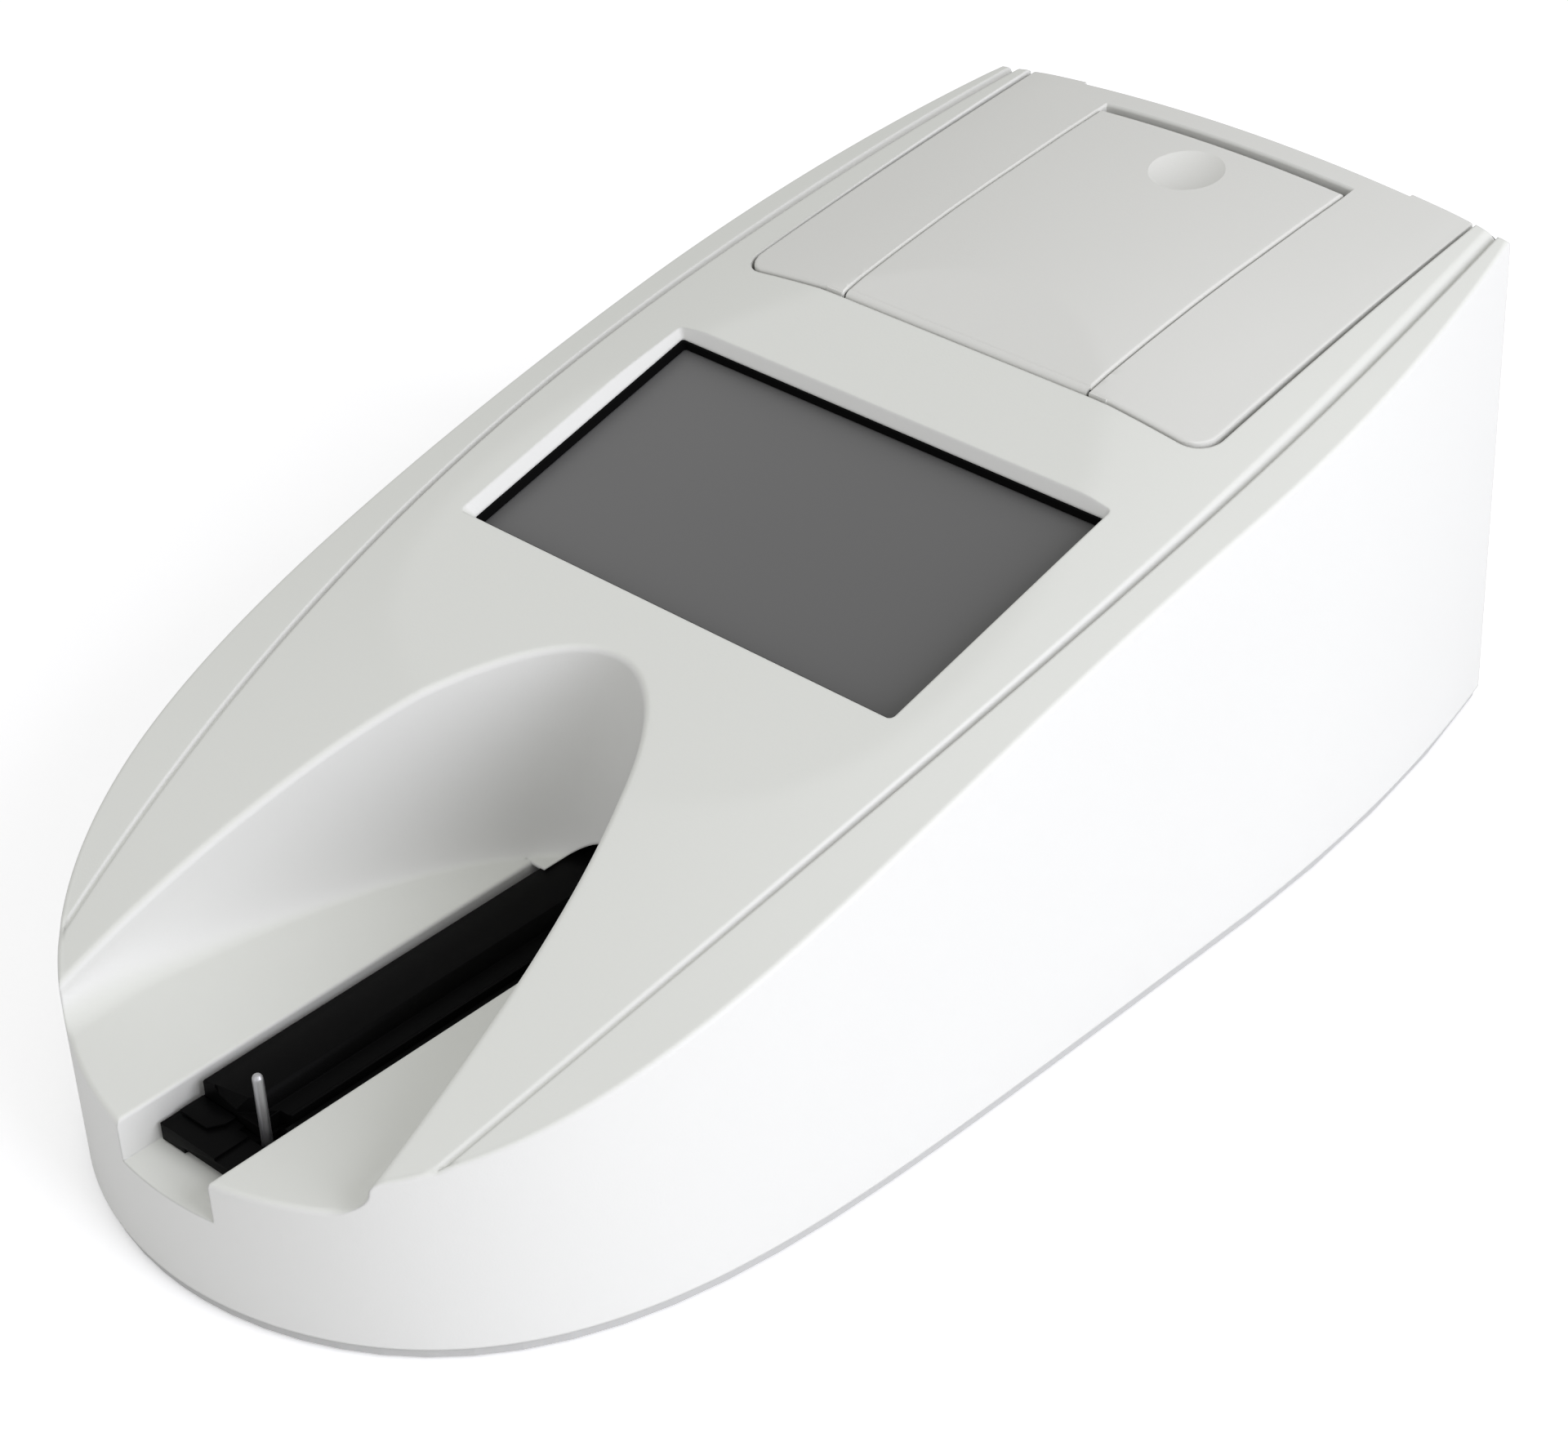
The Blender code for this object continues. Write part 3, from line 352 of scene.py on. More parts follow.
def scoopBlock(name, grow, ceiling, turns, levels, rounded):
    form = scoopForm
    radius = form["rimRound"] if rounded else 0.0
    sides = []
    for side in (-1, 1):
        made = []
        for i in range(turns + 1):
            angle = math.pi / 2 * (i / turns) ** 0.85
            out, rimX, rimY, tilt, centreZ = scoopRim(angle, grow, radius)
            column = []
            for level in range(levels + 1):
                lean = math.pi / 2 * level / levels
                back = form["wall"] * (1 - math.sin(lean))
                x = max(0.0, (form["half"] + grow - back) * math.sin(angle))
                y = form["centre"] + (form["long"] + grow - back) * math.cos(angle)
                foot = scoopFoot(x, y) - grow
                column.append((side * x, y, foot + (centreZ - foot) * (1 - math.cos(lean))))
            if rounded:
                for k in range(1, 8):
                    turn = math.pi - (math.pi / 2 - tilt) * k / 7
                    reach = radius + radius * math.cos(turn)
                    height = centreZ + radius * math.sin(turn)
                    if k == 7:
                        reach += 0.5 * math.cos(tilt + 0.12)
                        height += 0.5 * math.sin(tilt + 0.12)
                    column.append((side * (rimX + out.x * reach), rimY + out.y * reach, height))
                x, y, z = column[-1]
                column.append((x, y, ceiling))
            else:
                column.append((side * rimX, rimY, ceiling))
            made.append(column)
        made.append([(x, y - 14.0, z) for x, y, z in made[-1]])
        sides.append(made)
    left, right = sides
    points, faces = [], []

    def put(point):
        points.append(point)
        return len(points) - 1

    left = [[put(p) for p in column] for column in left]
    rightIds = [[put(p) for p in column] for column in right]
    for made in (left, rightIds):
        for near, far in zip(made, made[1:]):
            for k in range(len(near) - 1):
                faces.append((near[k], far[k], far[k + 1], near[k + 1]))
    rows = []
    for a, b, source in zip(left, rightIds, right):
        x, y, _ = source[0]
        middle = min(x, form["shelfEdge"])
        z = form["shelf"] - grow
        rows.append([a[0], put((-middle, y, z)), put((middle, y, z)), b[0]])
    for near, far in zip(rows, rows[1:]):
        for j in range(3):
            faces.append((near[j], near[j + 1], far[j + 1], far[j]))
    for a0, a1, b0, b1 in zip(left, left[1:], rightIds, rightIds[1:]):
        faces.append((a0[-1], a1[-1], b1[-1], b0[-1]))
    faces.append(tuple(list(reversed(left[-1])) + rows[-1][1:3] + rightIds[-1]))
    return meshObject(name, points, faces)


def scoopHeight(x, y):
    # height of the scooped floor or wall over a place inside the rim
    form = scoopForm
    foot = scoopFoot(x, y)
    x, y = abs(x), y - form["centre"]

    def beyond(back):
        return (x / (form["half"] - back)) ** 2 + (y / (form["long"] - back)) ** 2 - 1

    if beyond(form["wall"]) <= 0:
        return foot
    near, far = 0.0, form["wall"]
    for _ in range(40):
        middle = (near + far) / 2
        if beyond(middle) < 0:
            near = middle
        else:
            far = middle
    angle = math.atan2(x / (form["half"] - near), y / (form["long"] - near))
    lean = math.asin(1 - near / form["wall"])
    return foot + (scoopRim(angle, 0.0, form["rimRound"])[4] - foot) * (1 - math.cos(lean))


def noseRounding(radius=1.3, reach=38.6, steps=110):
    # takes the corner off where the scoop runs out through the nose
    rings = []
    for i in range(steps + 1):
        x = -reach + 2 * reach * i / steps
        near, far = -hull["halfLength"], -120.0
        for _ in range(40):
            y = (near + far) / 2
            if halfWidth(y) < abs(x):
                near = y
            else:
                far = y
        along = Vector((halfWidth(y + 0.05) - halfWidth(y - 0.05), 0.1)).normalized()
        inward = Vector((-math.copysign(along.y, x), along.x)) if abs(x) > 0.5 else Vector((0.0, 1.0))
        fade = easeStep((reach - abs(x)) / 5.0)
        ring = [(x - inward.x * 1.2, y - inward.y * 1.2, scoopHeight(x, y) - radius * fade - 0.1)]
        for k in range(7):
            deep = radius * (1 - math.cos(math.pi / 2 * k / 6))
            drop = radius - math.sqrt(radius ** 2 - (radius - deep) ** 2)
            px, py = x + inward.x * deep, y + inward.y * deep
            ring.append((px, py, scoopHeight(px, py) - drop * fade + 0.004 * k))
        px, py = x + inward.x * (radius + 0.4), y + inward.y * (radius + 0.4)
        ring.append((px, py, scoopHeight(px, py) + 0.12))
        ring.append((px, py, 74.0))
        ring.append((x - inward.x * 1.2, y - inward.y * 1.2, 74.0))
        rings.append(ring)
    return skin("noseRounding", rings)


def roundedOutline(frontHalf, rearHalf, front, rear, radius, bothEnds=False, steps=10):
    made = []
    corners = [(frontHalf - radius, front + radius, -90, 0)]
    if bothEnds:
        corners.append((rearHalf - radius, rear - radius, 0, 90))
    for x, y, start, end in corners:
        for i in range(steps + 1):
            angle = math.radians(start + (end - start) * i / steps)
            made.append((x + radius * math.cos(angle), y + radius * math.sin(angle)))
    if not bothEnds:
        made.append((rearHalf, rear))
    return made + [(-x, y) for x, y in reversed(made)]


def dense(outline, step):
    # more points along the straight runs, so that a cutter can follow the crowned deck
    made = []
    for (x0, y0), (x1, y1) in zip(outline, outline[1:] + outline[:1]):
        count = max(1, int(math.hypot(x1 - x0, y1 - y0) / step))
        made += [(x0 + (x1 - x0) * k / count, y0 + (y1 - y0) * k / count) for k in range(count)]
    return made


def outlineOffset(outline, grow):
    # each point moved square to its neighbours; the outline runs anticlockwise
    made = []
    for i, (x, y) in enumerate(outline):
        x0, y0 = outline[i - 1]
        x1, y1 = outline[(i + 1) % len(outline)]
        along = Vector((x1 - x0, y1 - y0))
        along.normalize()
        made.append((x + grow * along.y, y - grow * along.x))
    return made


def gapCutter(name, outline, low, radius, rise):
    # upright walls whose upper edge rolls out on to the deck
    rings = [[(x, y, low) for x, y in outline]]
    for k in range(6):
        angle = math.pi / 2 * k / 5
        grown = outlineOffset(outline, radius * (1 - math.cos(angle)))
        drop = radius * (1 - math.sin(angle))
        rings.append([(x, y, housingTop(x, y) + rise(x, y) - drop + 0.02 * k) for x, y in grown])
    grown = outlineOffset(outline, radius + 0.4)
    rings.append([(x, y, housingTop(x, y) + rise(x, y) + 0.25) for x, y in grown])
    rings.append([(x, y, 135.0) for x, y in grown])
    return skin(name, rings)


screenForm = {"front": -20.18, "rear": 39.14, "half": 54.1, "chamfer": 1.45, "under": 3.5, "corner": 1.2}
facetMiddle = (screenForm["front"] + screenForm["rear"]) / 2
slopeHalf = (screenForm["rear"] - screenForm["front"]) / 2 / math.cos(hull["facetTilt"])


def facetMatrix():
    height = hull["facetHeight"] + math.tan(hull["facetTilt"]) * facetMiddle
    return Matrix.Translation((0, facetMiddle * mm, height * mm)) @ Matrix.Rotation(hull["facetTilt"], 4, "X")


def onFacet(obj):
    obj.data.transform(facetMatrix())
    obj.data.update()
    return obj


def screenRing(grow, z):
    form = screenForm
    outline = roundedOutline(
        form["half"] + grow, form["half"] + grow, -slopeHalf - grow, slopeHalf + grow,
        max(0.5, form["corner"] + grow * 0.4), True,
    )
    return [(x, y, z) for x, y in outline]


def facetBlock(name, halfX, halfY, low, high):
    return onFacet(cube(name, (-halfX, -halfY, low), (halfX, halfY, high)))


coverForm = {
    "front": 60.3, "frontHalf": 57.1, "rearHalf": 54.9, "thick": 2.2, "corner": 5.0, "roll": 0.75,
    "gap": 0.5, "skirt": 88.0, "rearStepHalf": 40.5, "rearStepDeep": 0.85, "rearStepLow": 104.6,
    "lidHalf": 30.2, "lidGap": 0.3, "lidRear": 137.0, "slotRear": 139.3,
    "hingeRadius": 1.5, "pinRadius": 0.7, "pinGap": 0.3, "edgeRise": 0.4, "riseHalf": 50.0,
    "rise": (
        (60, 0.4), (80, 0.7), (92, 0.75), (102, 0.55), (112, 0.22), (122, 0.0), (137, -0.4), (146, -0.5)),
}


def coverRise(x, y):
    # how far the cover stands above the deck: a little more near its front, less at the rear
    rise = coverForm["rise"][-1][1]
    for (y0, r0), (y1, r1) in zip(coverForm["rise"], coverForm["rise"][1:]):
        if y < y1:
            rise = r0 + (r1 - r0) * easeStep((y - y0) / (y1 - y0))
            break
    edge = coverForm["edgeRise"]
    return edge + (rise - edge) * max(0.0, 1 - (x / coverForm["riseHalf"]) ** 2)


hingeY = coverForm["front"] + coverForm["hingeRadius"]
hingeZ = deck(0, hingeY) + coverForm["edgeRise"] - coverForm["hingeRadius"] - 0.2
hinge = (0, hingeY, hingeZ)
pinHole = coverForm["pinRadius"] + coverForm["pinGap"]


# upper housing

housingForm = {
    "rows": 150, "channelHalf": 12.0, "channelFloor": 22.0, "channelRound": 0.7, "mouthTop": 34.0,
    "bosses": ((-65.4, 100.0), (65.4, 100.0), (-52.0, -72.0), (52.0, -72.0)),
    "bossRadius": 4.0, "bossHole": 1.5, "flange": 6.6,
}


def channelCutter():
    form = housingForm
    half, floor, shelf = form["channelHalf"], form["channelFloor"], scoopForm["shelf"]
    radius = form["channelRound"]
    side = [(half, floor)]
    for k in range(6):
        angle = math.pi / 2 * k / 5
        side.append((half + radius * (1 - math.cos(angle)), shelf - radius * (1 - math.sin(angle))))
    side += [(half + radius + 0.5, shelf + 0.12), (half + radius + 0.5, shelf + 4.0)]
    profile = [(-x, z) for x, z in reversed(side)] + side
    outer = skin("channelCutter", [[(x, y, z) for x, z in profile] for y in (-152.0, -47.0)])
    mouth = cube("mouthCutter", (-half, -50.0, floor), (half, -20.0, form["mouthTop"] - 4.0))
    boolean(outer, mouth, "UNION")
    arch = cylinder("mouthArch", (0, -35.0, form["mouthTop"] - half), half, 30.0, "Y", 64)
    return boolean(outer, arch, "UNION")


def makeHousing():
    form = housingForm
    shell = hullBlock("upperHousing", 0.0, 0.0, hull["bottom"], hull["edge"], form["rows"], True)
    boolean(shell, scoopBlock("scoopCutter", 0.0, 130.0, 96, 14, True))
    boolean(shell, channelCutter())
    window = skin("screenCutter", [
        screenRing(2.6, 3.0), screenRing(0.3, 0.12), screenRing(0.1, 0.0), screenRing(-0.05, -0.16),
        screenRing(-screenForm["chamfer"], -2.3),
        screenRing(-screenForm["chamfer"], -9.0),
    ])
    boolean(shell, onFacet(window))
    gap = coverForm["gap"]
    opening = roundedOutline(
        coverForm["frontHalf"] + gap, coverForm["rearHalf"] + gap, coverForm["front"] - gap, 149.0,
        coverForm["corner"] + gap)
    low = coverForm["skirt"] - gap
    boolean(shell, gapCutter("coverCutter", dense(opening, 4.0), low, 0.45, lambda x, y: 0.0))
    boolean(shell, noseRounding())
    cavity = hullBlock("cavity", hull["wall"], hull["wall"], -6.0, 1.0, 40, False)
    boolean(cavity, scoopBlock("scoopOutside", hull["wall"], 140.0, 40, 6, False))
    boolean(cavity, cube("channelOutside", (-14.0, -150.0, 20.0), (14.0, -36.0, 31.7)))
    for x, y in form["bosses"]:
        boolean(cavity, cylinder("bossOutside", (x, y, 60.0), form["bossRadius"], 100.0, sides=24))
    reachX = screenForm["half"] - screenForm["chamfer"] + form["flange"]
    reachY = slopeHalf - screenForm["chamfer"] + form["flange"]
    low = -screenForm["under"] + 0.3
    boolean(cavity, facetBlock("screenPocket", reachX, reachY, low - 12.0, low + 0.5), "UNION")
    boolean(cavity, facetBlock("screenSeat", reachX + 0.5, reachY + 0.5, low, 4.0))
    boolean(shell, cavity)
    for x, y in form["bosses"]:
        boolean(shell, cylinder("bossHole", (x, y, 16.3), form["bossHole"], 18.0, sides=16))
        boolean(shell, cylinder("bossTrim", (x, y, 1.0), 4.6, 14.6, sides=24))
    makePortHoles(shell)
    evenShade(shell, 32)
    return standFor(shell, "top_housing")


ports = {
    "height": 53.0,
    "square": {"serialHole": (-36.0, 15.6, 6.3), "switchHole": (40.0, 9.8, 6.8)},  # place and half sizes
    "round": {"keyboardHole": (-5.0, 7.0), "inletHole": (15.0, 5.0)},  # place and radius
}


def makePortHoles(shell):
    z, rear = ports["height"], hull["halfLength"]
    for name, (x, half, tall) in ports["square"].items():
        boolean(shell, cube(name, (x - half, rear - 6.0, z - tall), (x + half, rear + 3.0, z + tall)))
    for name, (x, radius) in ports["round"].items():
        boolean(shell, cylinder(name, (x, rear, z), radius, 12.0, "Y"))


makeHousing()
print("upper housing done")


# printer cover and paper lid

rollSteps = (0.0, 0.06, 0.16, 0.32, 0.55, 0.8, 1.4, 2.4)  # distances from an edge that is rolled over


def edgeStations(half, step):
    inner = half - 4.0
    count = max(2, int(2 * inner / step))
    made = [-half + d for d in rollSteps] + [-inner + 2 * inner * k / count for k in range(count + 1)]
    return made + [half - d for d in reversed(rollSteps)]


def panelSkin(name, rows, radius, thick, openRear=False):
    # rows holds (y, half width); the upper edge is rolled over by the radius
    front, rear = rows[0][0], rows[-1][0]
    upper, lower = [], []
    count = len(edgeStations(30.0, 1.2))
    for y, half in rows:
        xs = edgeStations(max(half, 5.0), 1.2 * half / 30.0)
        xs = xs[:count] if len(xs) >= count else xs + [xs[-1]] * (count - len(xs))
        top = []
        for x in xs:
            near = min(half - abs(x), y - front, 9.0 if openRear else rear - y)
            roll = radius - min(max(near, 0.0), radius)
            z = deck(x, y) + coverRise(x, y) - (radius - math.sqrt(max(0.0, radius ** 2 - roll ** 2)))
            top.append((x, y, z))
        upper.append(top)
        lower.append([(x, y, deck(x, y) + coverRise(x, y) - thick) for x in xs])
    rings = [up + list(reversed(down)) for up, down in zip(upper, lower)]
    return skin(name, rings)


def stationsAlong(front, rear, step, openRear=False):
    start, end = front + 4.0, rear - 4.0
    count = int((end - start) / step)
    made = [front + d for d in rollSteps] + [start + (end - start) * k / count for k in range(count + 1)]
    return made + ([rear] if openRear else [rear - d for d in reversed(rollSteps)])


def makeCover():
    form = coverForm
    rows = []
    for y in stationsAlong(form["front"], hull["halfLength"] - 0.1, 2.0, True):
        share = (y - form["front"]) / (hull["halfLength"] - form["front"])
        half = form["frontHalf"] + (form["rearHalf"] - form["frontHalf"]) * share
        back = max(0.0, form["corner"] - (y - form["front"]))
        half -= form["corner"] - math.sqrt(max(0.0, form["corner"] ** 2 - back ** 2))
        rows.append((y, half))
    cover = panelSkin("printerCover", rows, form["roll"], form["thick"], openRear=True)
    half, rear = form["rearHalf"] - 0.3, hull["halfLength"] - 0.15
    inside = rear - form["thick"]
    skirtRows = []
    for k in range(41):
        x = -half + 2 * half * k / 40
        low, top = form["skirt"], deck(x, rear) + coverRise(x, rear) - 0.6
        skirtRows.append([(x, inside, low), (x, rear, low), (x, rear, top), (x, inside, top)])
    boolean(cover, skin("coverSkirt", skirtRows), "UNION")
    half, front = form["lidHalf"] + form["lidGap"], form["front"] - 2.0
    hole = [(half, front), (half, form["slotRear"]), (-half, form["slotRear"]), (-half, front)]
    boolean(cover, gapCutter("lidHole", dense(hole, 4.0), 20.0, form["roll"], coverRise))
    # the paper's way out: the rear edge steps in a little over its middle
    half, deep = form["rearStepHalf"], hull["halfLength"] - form["rearStepDeep"]
    boolean(cover, cube("rearStep", (-half, deep, form["rearStepLow"]), (half, 147.0, 112.0)))
    for side in (-1, 1):
        low, high = sorted((side * (form["lidHalf"] + 0.5), side * (form["lidHalf"] + 4.5)))
        lug = cube("coverLug", (low, hingeY - 1.6, hingeZ - 3.0), (high, hingeY + 3.0, hingeZ + 1.2))
        boolean(cover, lug, "UNION")
    boolean(cover, cylinder("pinHole", hinge, pinHole, 66.4, "X", 16))
    evenShade(cover, 32)
    return standFor(cover, "printer_cover")


dimple = {"x": 0.6, "y": 126.5, "radius": 7.8, "depth": 1.45}


def makeLid():
    form = coverForm
    rows = [(y, form["lidHalf"]) for y in stationsAlong(hingeY - 0.37, form["lidRear"], 1.2)]
    lid = panelSkin("paperLid", rows, form["roll"], form["thick"])
    # the finger dimple is a shallow cap of a large ball
    ball = (dimple["radius"] ** 2 + dimple["depth"] ** 2) / (2 * dimple["depth"])
    slope = (deck(0, dimple["y"] + 4) - deck(0, dimple["y"] - 4)) / 8
    lean = Vector((0, -slope, 1)).normalized()
    place = Vector((dimple["x"], dimple["y"], deck(dimple["x"], dimple["y"]) + coverRise(0, dimple["y"])))
    place += lean * (ball - dimple["depth"])
    deselectAll()
    bpy.ops.mesh.primitive_uv_sphere_add(segments=128, ring_count=96, radius=ball * mm, location=place * mm)
    boolean(lid, bakePlace(bpy.context.object))
    barrel = cylinder("lidBarrel", hinge, form["hingeRadius"], 2 * form["lidHalf"] - 0.6, "X", 32)
    boolean(lid, barrel, "UNION")
    boolean(lid, cylinder("lidPinHole", hinge, pinHole, 80.0, "X", 20))
    evenShade(lid, 12)
    return standFor(lid, "paper_lid")


makeCover()
makeLid()
print("cover and lid done")


# black frame round the screen, standing up inside the opening

bezelForm = {"thick": 0.4, "clear": 0.03, "lip": 0.15, "top": -2.6, "foot": -0.8, "deep": 1.2}


def makeBezel():
    form = bezelForm
    inner = -screenForm["chamfer"] - form["thick"]
    outer = -screenForm["chamfer"] - form["clear"]
    top, under, foot = form["top"], -screenForm["under"], form["foot"]
    low = under - form["deep"]
    rings = [
        screenRing(inner, low), screenRing(inner, top - form["lip"]), screenRing(inner + form["lip"], top),
        screenRing(outer, top), screenRing(outer, under),
        screenRing(foot, under), screenRing(foot, low), screenRing(inner, low),
    ]
    bezel = skin("screenBezel", rings, ends=False)
    onFacet(bezel)
    smooth(bezel, 30)
    return standFor(bezel, "display_gasket")


makeBezel()
print("bezel done")


# nodes that keep their own shape get small rounded edges

def softened(node, name, width, segments=2, angle=32):
    source = frame["nodes"][node]
    obj = bpy.data.objects.new(name, source.data.copy())
    bpy.context.scene.collection.objects.link(obj)
    pick(obj)
    bpy.ops.object.mode_set(mode="EDIT")
    bpy.ops.mesh.select_all(action="SELECT")
    bpy.ops.mesh.remove_doubles(threshold=0.004 * mm)
    bpy.ops.mesh.dissolve_limited(angle_limit=math.radians(0.5))
    bpy.ops.object.mode_set(mode="OBJECT")
    step = obj.modifiers.new("edge", "BEVEL")
    step.width = width * mm
    step.segments = segments
    step.limit_method = "ANGLE"
    step.angle_limit = math.radians(40)
    step.use_clamp_overlap = True
    applyModifiers(obj)
    smooth(obj, angle)
    return standFor(obj, node)


trayForm = {
    "stepLow": (3.4, -137.1, 25.5), "stepHigh": (12.0, -124.6, 27.2),
    "facet": ((-7.9, -126.05, 31.1), (2.1, -124.6, 31.4), (-2.7, -127.7, 26.4)),
    "facetAway": (0.5, -5.0, 4.0),
}


def trayDetails(carriage, insert):
    # the step beside the pin, and the slanted facet on the insert's front corner
    boolean(carriage, cube("pinStep", trayForm["stepLow"], trayForm["stepHigh"]))
    facet = trayForm["facet"]
    beyond = [tuple(a + b for a, b in zip(corner, trayForm["facetAway"])) for corner in facet]
    boolean(insert, skin("frontFacet", [facet, beyond]))


softNodes = {}
for nodeName, newName, width in (
    ("tray_carriage", "trayCarriage", 0.25),
    ("strip_insert", "stripInsert", 0.22),
    ("insert_front_plate", "insertPlate", 0.2),
    ("measuring_head", "measuringHead", 0.4),
    ("switch_frame", "switchFrame", 0.4),
    ("power_rocker", "powerRocker", 0.3),
    ("serial_port", "serialPort", 0.4),
):
    softNodes[newName] = softened(nodeName, newName, width)
trayDetails(softNodes["trayCarriage"], softNodes["stripInsert"])
print("small pieces done")


# materials

class Wire:
    # a socket that Python's operators work on
    def __init__(self, tree, socket=None):
        self.tree = tree
        self.socket = socket

    def make(self, kind, settings=None, out=0, **values):
        node = self.tree.nodes.new("ShaderNode" + kind)
        for key, value in (settings or {}).items():
            if key == "stops":
                while len(node.color_ramp.elements) < len(value):
                    node.color_ramp.elements.new(0.5)
                for element, (place, colour) in zip(node.color_ramp.elements, value):
                    element.position = place
                    element.color = colour
            else:
                setattr(node, key, value)
        for key, value in values.items():
            socket = node.inputs[int(key[1:])] if key[1:].isdigit() else node.inputs[key.replace("_", " ")]
            if isinstance(value, Wire):
                self.tree.links.new(value.socket, socket)
            else:
                socket.default_value = value
        return Wire(self.tree, node.outputs[out])

    def sum(self, operation, first, second):
        return self.make("Math", {"operation": operation}, i0=first, i1=second)

    def __add__(self, other):
        return self.sum("ADD", self, other)

    def __radd__(self, other):
        return self.sum("ADD", other, self)

    def __sub__(self, other):
        return self.sum("SUBTRACT", self, other)

    def __rsub__(self, other):
        return self.sum("SUBTRACT", other, self)

    def __mul__(self, other):
        return self.sum("MULTIPLY", self, other)

    def __rmul__(self, other):
        return self.sum("MULTIPLY", other, self)


def srgb(value):
    c = value / 255
    return c / 12.92 if c <= 0.04045 else ((c + 0.055) / 1.055) ** 2.4


def newMaterial(name):
    made = bpy.data.materials.new(name)
    made.use_nodes = True
    shader = made.node_tree.nodes["Principled BSDF"]
    return made, shader, Wire(made.node_tree)


def link(tree, wire, socket):
    tree.links.new(wire.socket, socket)


def shaded(w, colour, tone):
    # the colour multiplied by a value near 1
    settings = {"data_type": "RGBA", "blend_type": "MULTIPLY"}
    return w.make("Mix", settings, out=2, i0=1.0, i6=colour, i7=tone)


def plastic(name, colour, roughness, grain, grainDepth, mottle=0.02, specular=0.5, edge=0.0, sides=None):
    made, shader, w = newMaterial(name)
    tree = made.node_tree
    place = w.make("TexCoord", out=3)
    wide = w.make("TexNoise", Vector=place, Scale=14.0, Detail=3.0, Roughness=0.5)
    fine = w.make("TexNoise", Vector=place, Scale=grain, Detail=2.5, Roughness=0.55)
    tone = 1.0 - mottle + wide * (mottle * 1.4) + fine * (mottle * 0.6)
    paint = (*colour, 1.0)
    if sides:
        # painted light: the walls get a cooler grey than what faces up, standing in for the cooler light that
        # falls on the sides
        facing = w.make("SeparateXYZ", out=2, Vector=w.make("NewGeometry", out=1))
        paintedLightMask = w.make("Clamp", Value=(facing - 0.5) * 3.0)
        paint = w.make("Mix", {"data_type": "RGBA"}, out=2, i0=paintedLightMask, i6=(*sides, 1.0), i7=paint)
    link(tree, shaded(w, paint, tone), shader.inputs["Base Color"])
    link(tree, roughness - 0.05 + fine * 0.1, shader.inputs["Roughness"])
    bump = w.make("Bump", Strength=0.35, Distance=grainDepth * mm, Height=fine)
    if edge:
        soft = w.make("Bevel", {"samples": 6}, Radius=edge * mm)
        link(tree, soft, bump.socket.node.inputs["Normal"])
    link(tree, bump, shader.inputs["Normal"])
    shader.inputs["Specular IOR Level"].default_value = specular
    return made


def brushed(name, colour, roughness, stretch):
    made, shader, w = newMaterial(name)
    tree = made.node_tree
    place = w.make("TexCoord", out=3)
    turned = w.make("Mapping", Vector=place, Scale=stretch)
    lines = w.make("TexNoise", Vector=turned, Scale=1.0, Detail=4.0, Roughness=0.6)
    link(tree, shaded(w, (*colour, 1.0), 0.88 + lines * 0.24), shader.inputs["Base Color"])
    link(tree, roughness - 0.08 + lines * 0.16, shader.inputs["Roughness"])
    bump = w.make("Bump", Strength=0.15, Distance=0.02 * mm, Height=lines)
    link(tree, bump, shader.inputs["Normal"])
    shader.inputs["Metallic"].default_value = 1.0
    return made


def screenGlass(name):
    made, shader, w = newMaterial(name)
    tree = made.node_tree
    place = w.make("TexCoord", out=3)
    parts = w.make("SeparateXYZ", Vector=place)
    parts = [Wire(tree, parts.socket.node.outputs[k]) for k in range(3)]
    cloud = w.make("TexNoise", Vector=place, Scale=9.0, Detail=2.0)
    # painted light: the glass is made lighter towards the rear and the left and darker towards the front
    # right, with a little random cloud
    shade = 0.93 + parts[1] * 1.0 - parts[0] * 1.5 + cloud * 0.05
    grey = (srgb(101), srgb(101), srgb(100), 1.0)
    link(tree, shaded(w, grey, shade), shader.inputs["Base Color"])
    dust = w.make("TexNoise", Vector=place, Scale=900.0, Detail=2.0)
    link(tree, 0.36 + dust * 0.08, shader.inputs["Roughness"])
    bump = w.make("Bump", Strength=0.08, Distance=0.01 * mm, Height=dust)
    link(tree, bump, shader.inputs["Normal"])
    shader.inputs["Specular IOR Level"].default_value = 0.25
    return made


def paperStock(name):
    made, shader, w = newMaterial(name)
    tree = made.node_tree
    place = w.make("TexCoord", out=3)
    fibre = w.make("TexNoise", Vector=place, Scale=1800.0, Detail=4.0)
    bands = {"wave_type": "BANDS", "bands_direction": "X"}
    edge = w.make("TexWave", bands, Vector=place, Scale=40.0, Distortion=0.4)
    pale, dull = (0.86, 0.86, 0.84, 1), (0.74, 0.74, 0.71, 1)
    base = w.make("Mix", {"data_type": "RGBA"}, out=2, i0=fibre * 0.3 + edge * 0.1, i6=pale, i7=dull)
    link(tree, base, shader.inputs["Base Color"])
    link(tree, 0.8 + fibre * 0.15, shader.inputs["Roughness"])
    bump = w.make("Bump", Strength=0.2, Distance=0.03 * mm, Height=fibre)
    link(tree, bump, shader.inputs["Normal"])
    return made


def boardFinish(name):
    made, shader, w = newMaterial(name)
    tree = made.node_tree
    place = w.make("TexCoord", out=3)
    cells = w.make("TexVoronoi", {"distance": "MANHATTAN", "feature": "F1"}, Vector=place, Scale=260.0)
    greens = {"stops": ((0.0, (0.03, 0.2, 0.09, 1)), (0.42, (0.02, 0.14, 0.06, 1)))}
    tracks = w.make("ValToRGB", greens, Fac=cells)
    link(tree, tracks, shader.inputs["Base Color"])
    link(tree, 0.35 + cells * 0.2, shader.inputs["Roughness"])
    bump = w.make("Bump", Strength=0.2, Distance=0.05 * mm, Height=cells)
    link(tree, bump, shader.inputs["Normal"])
    return made


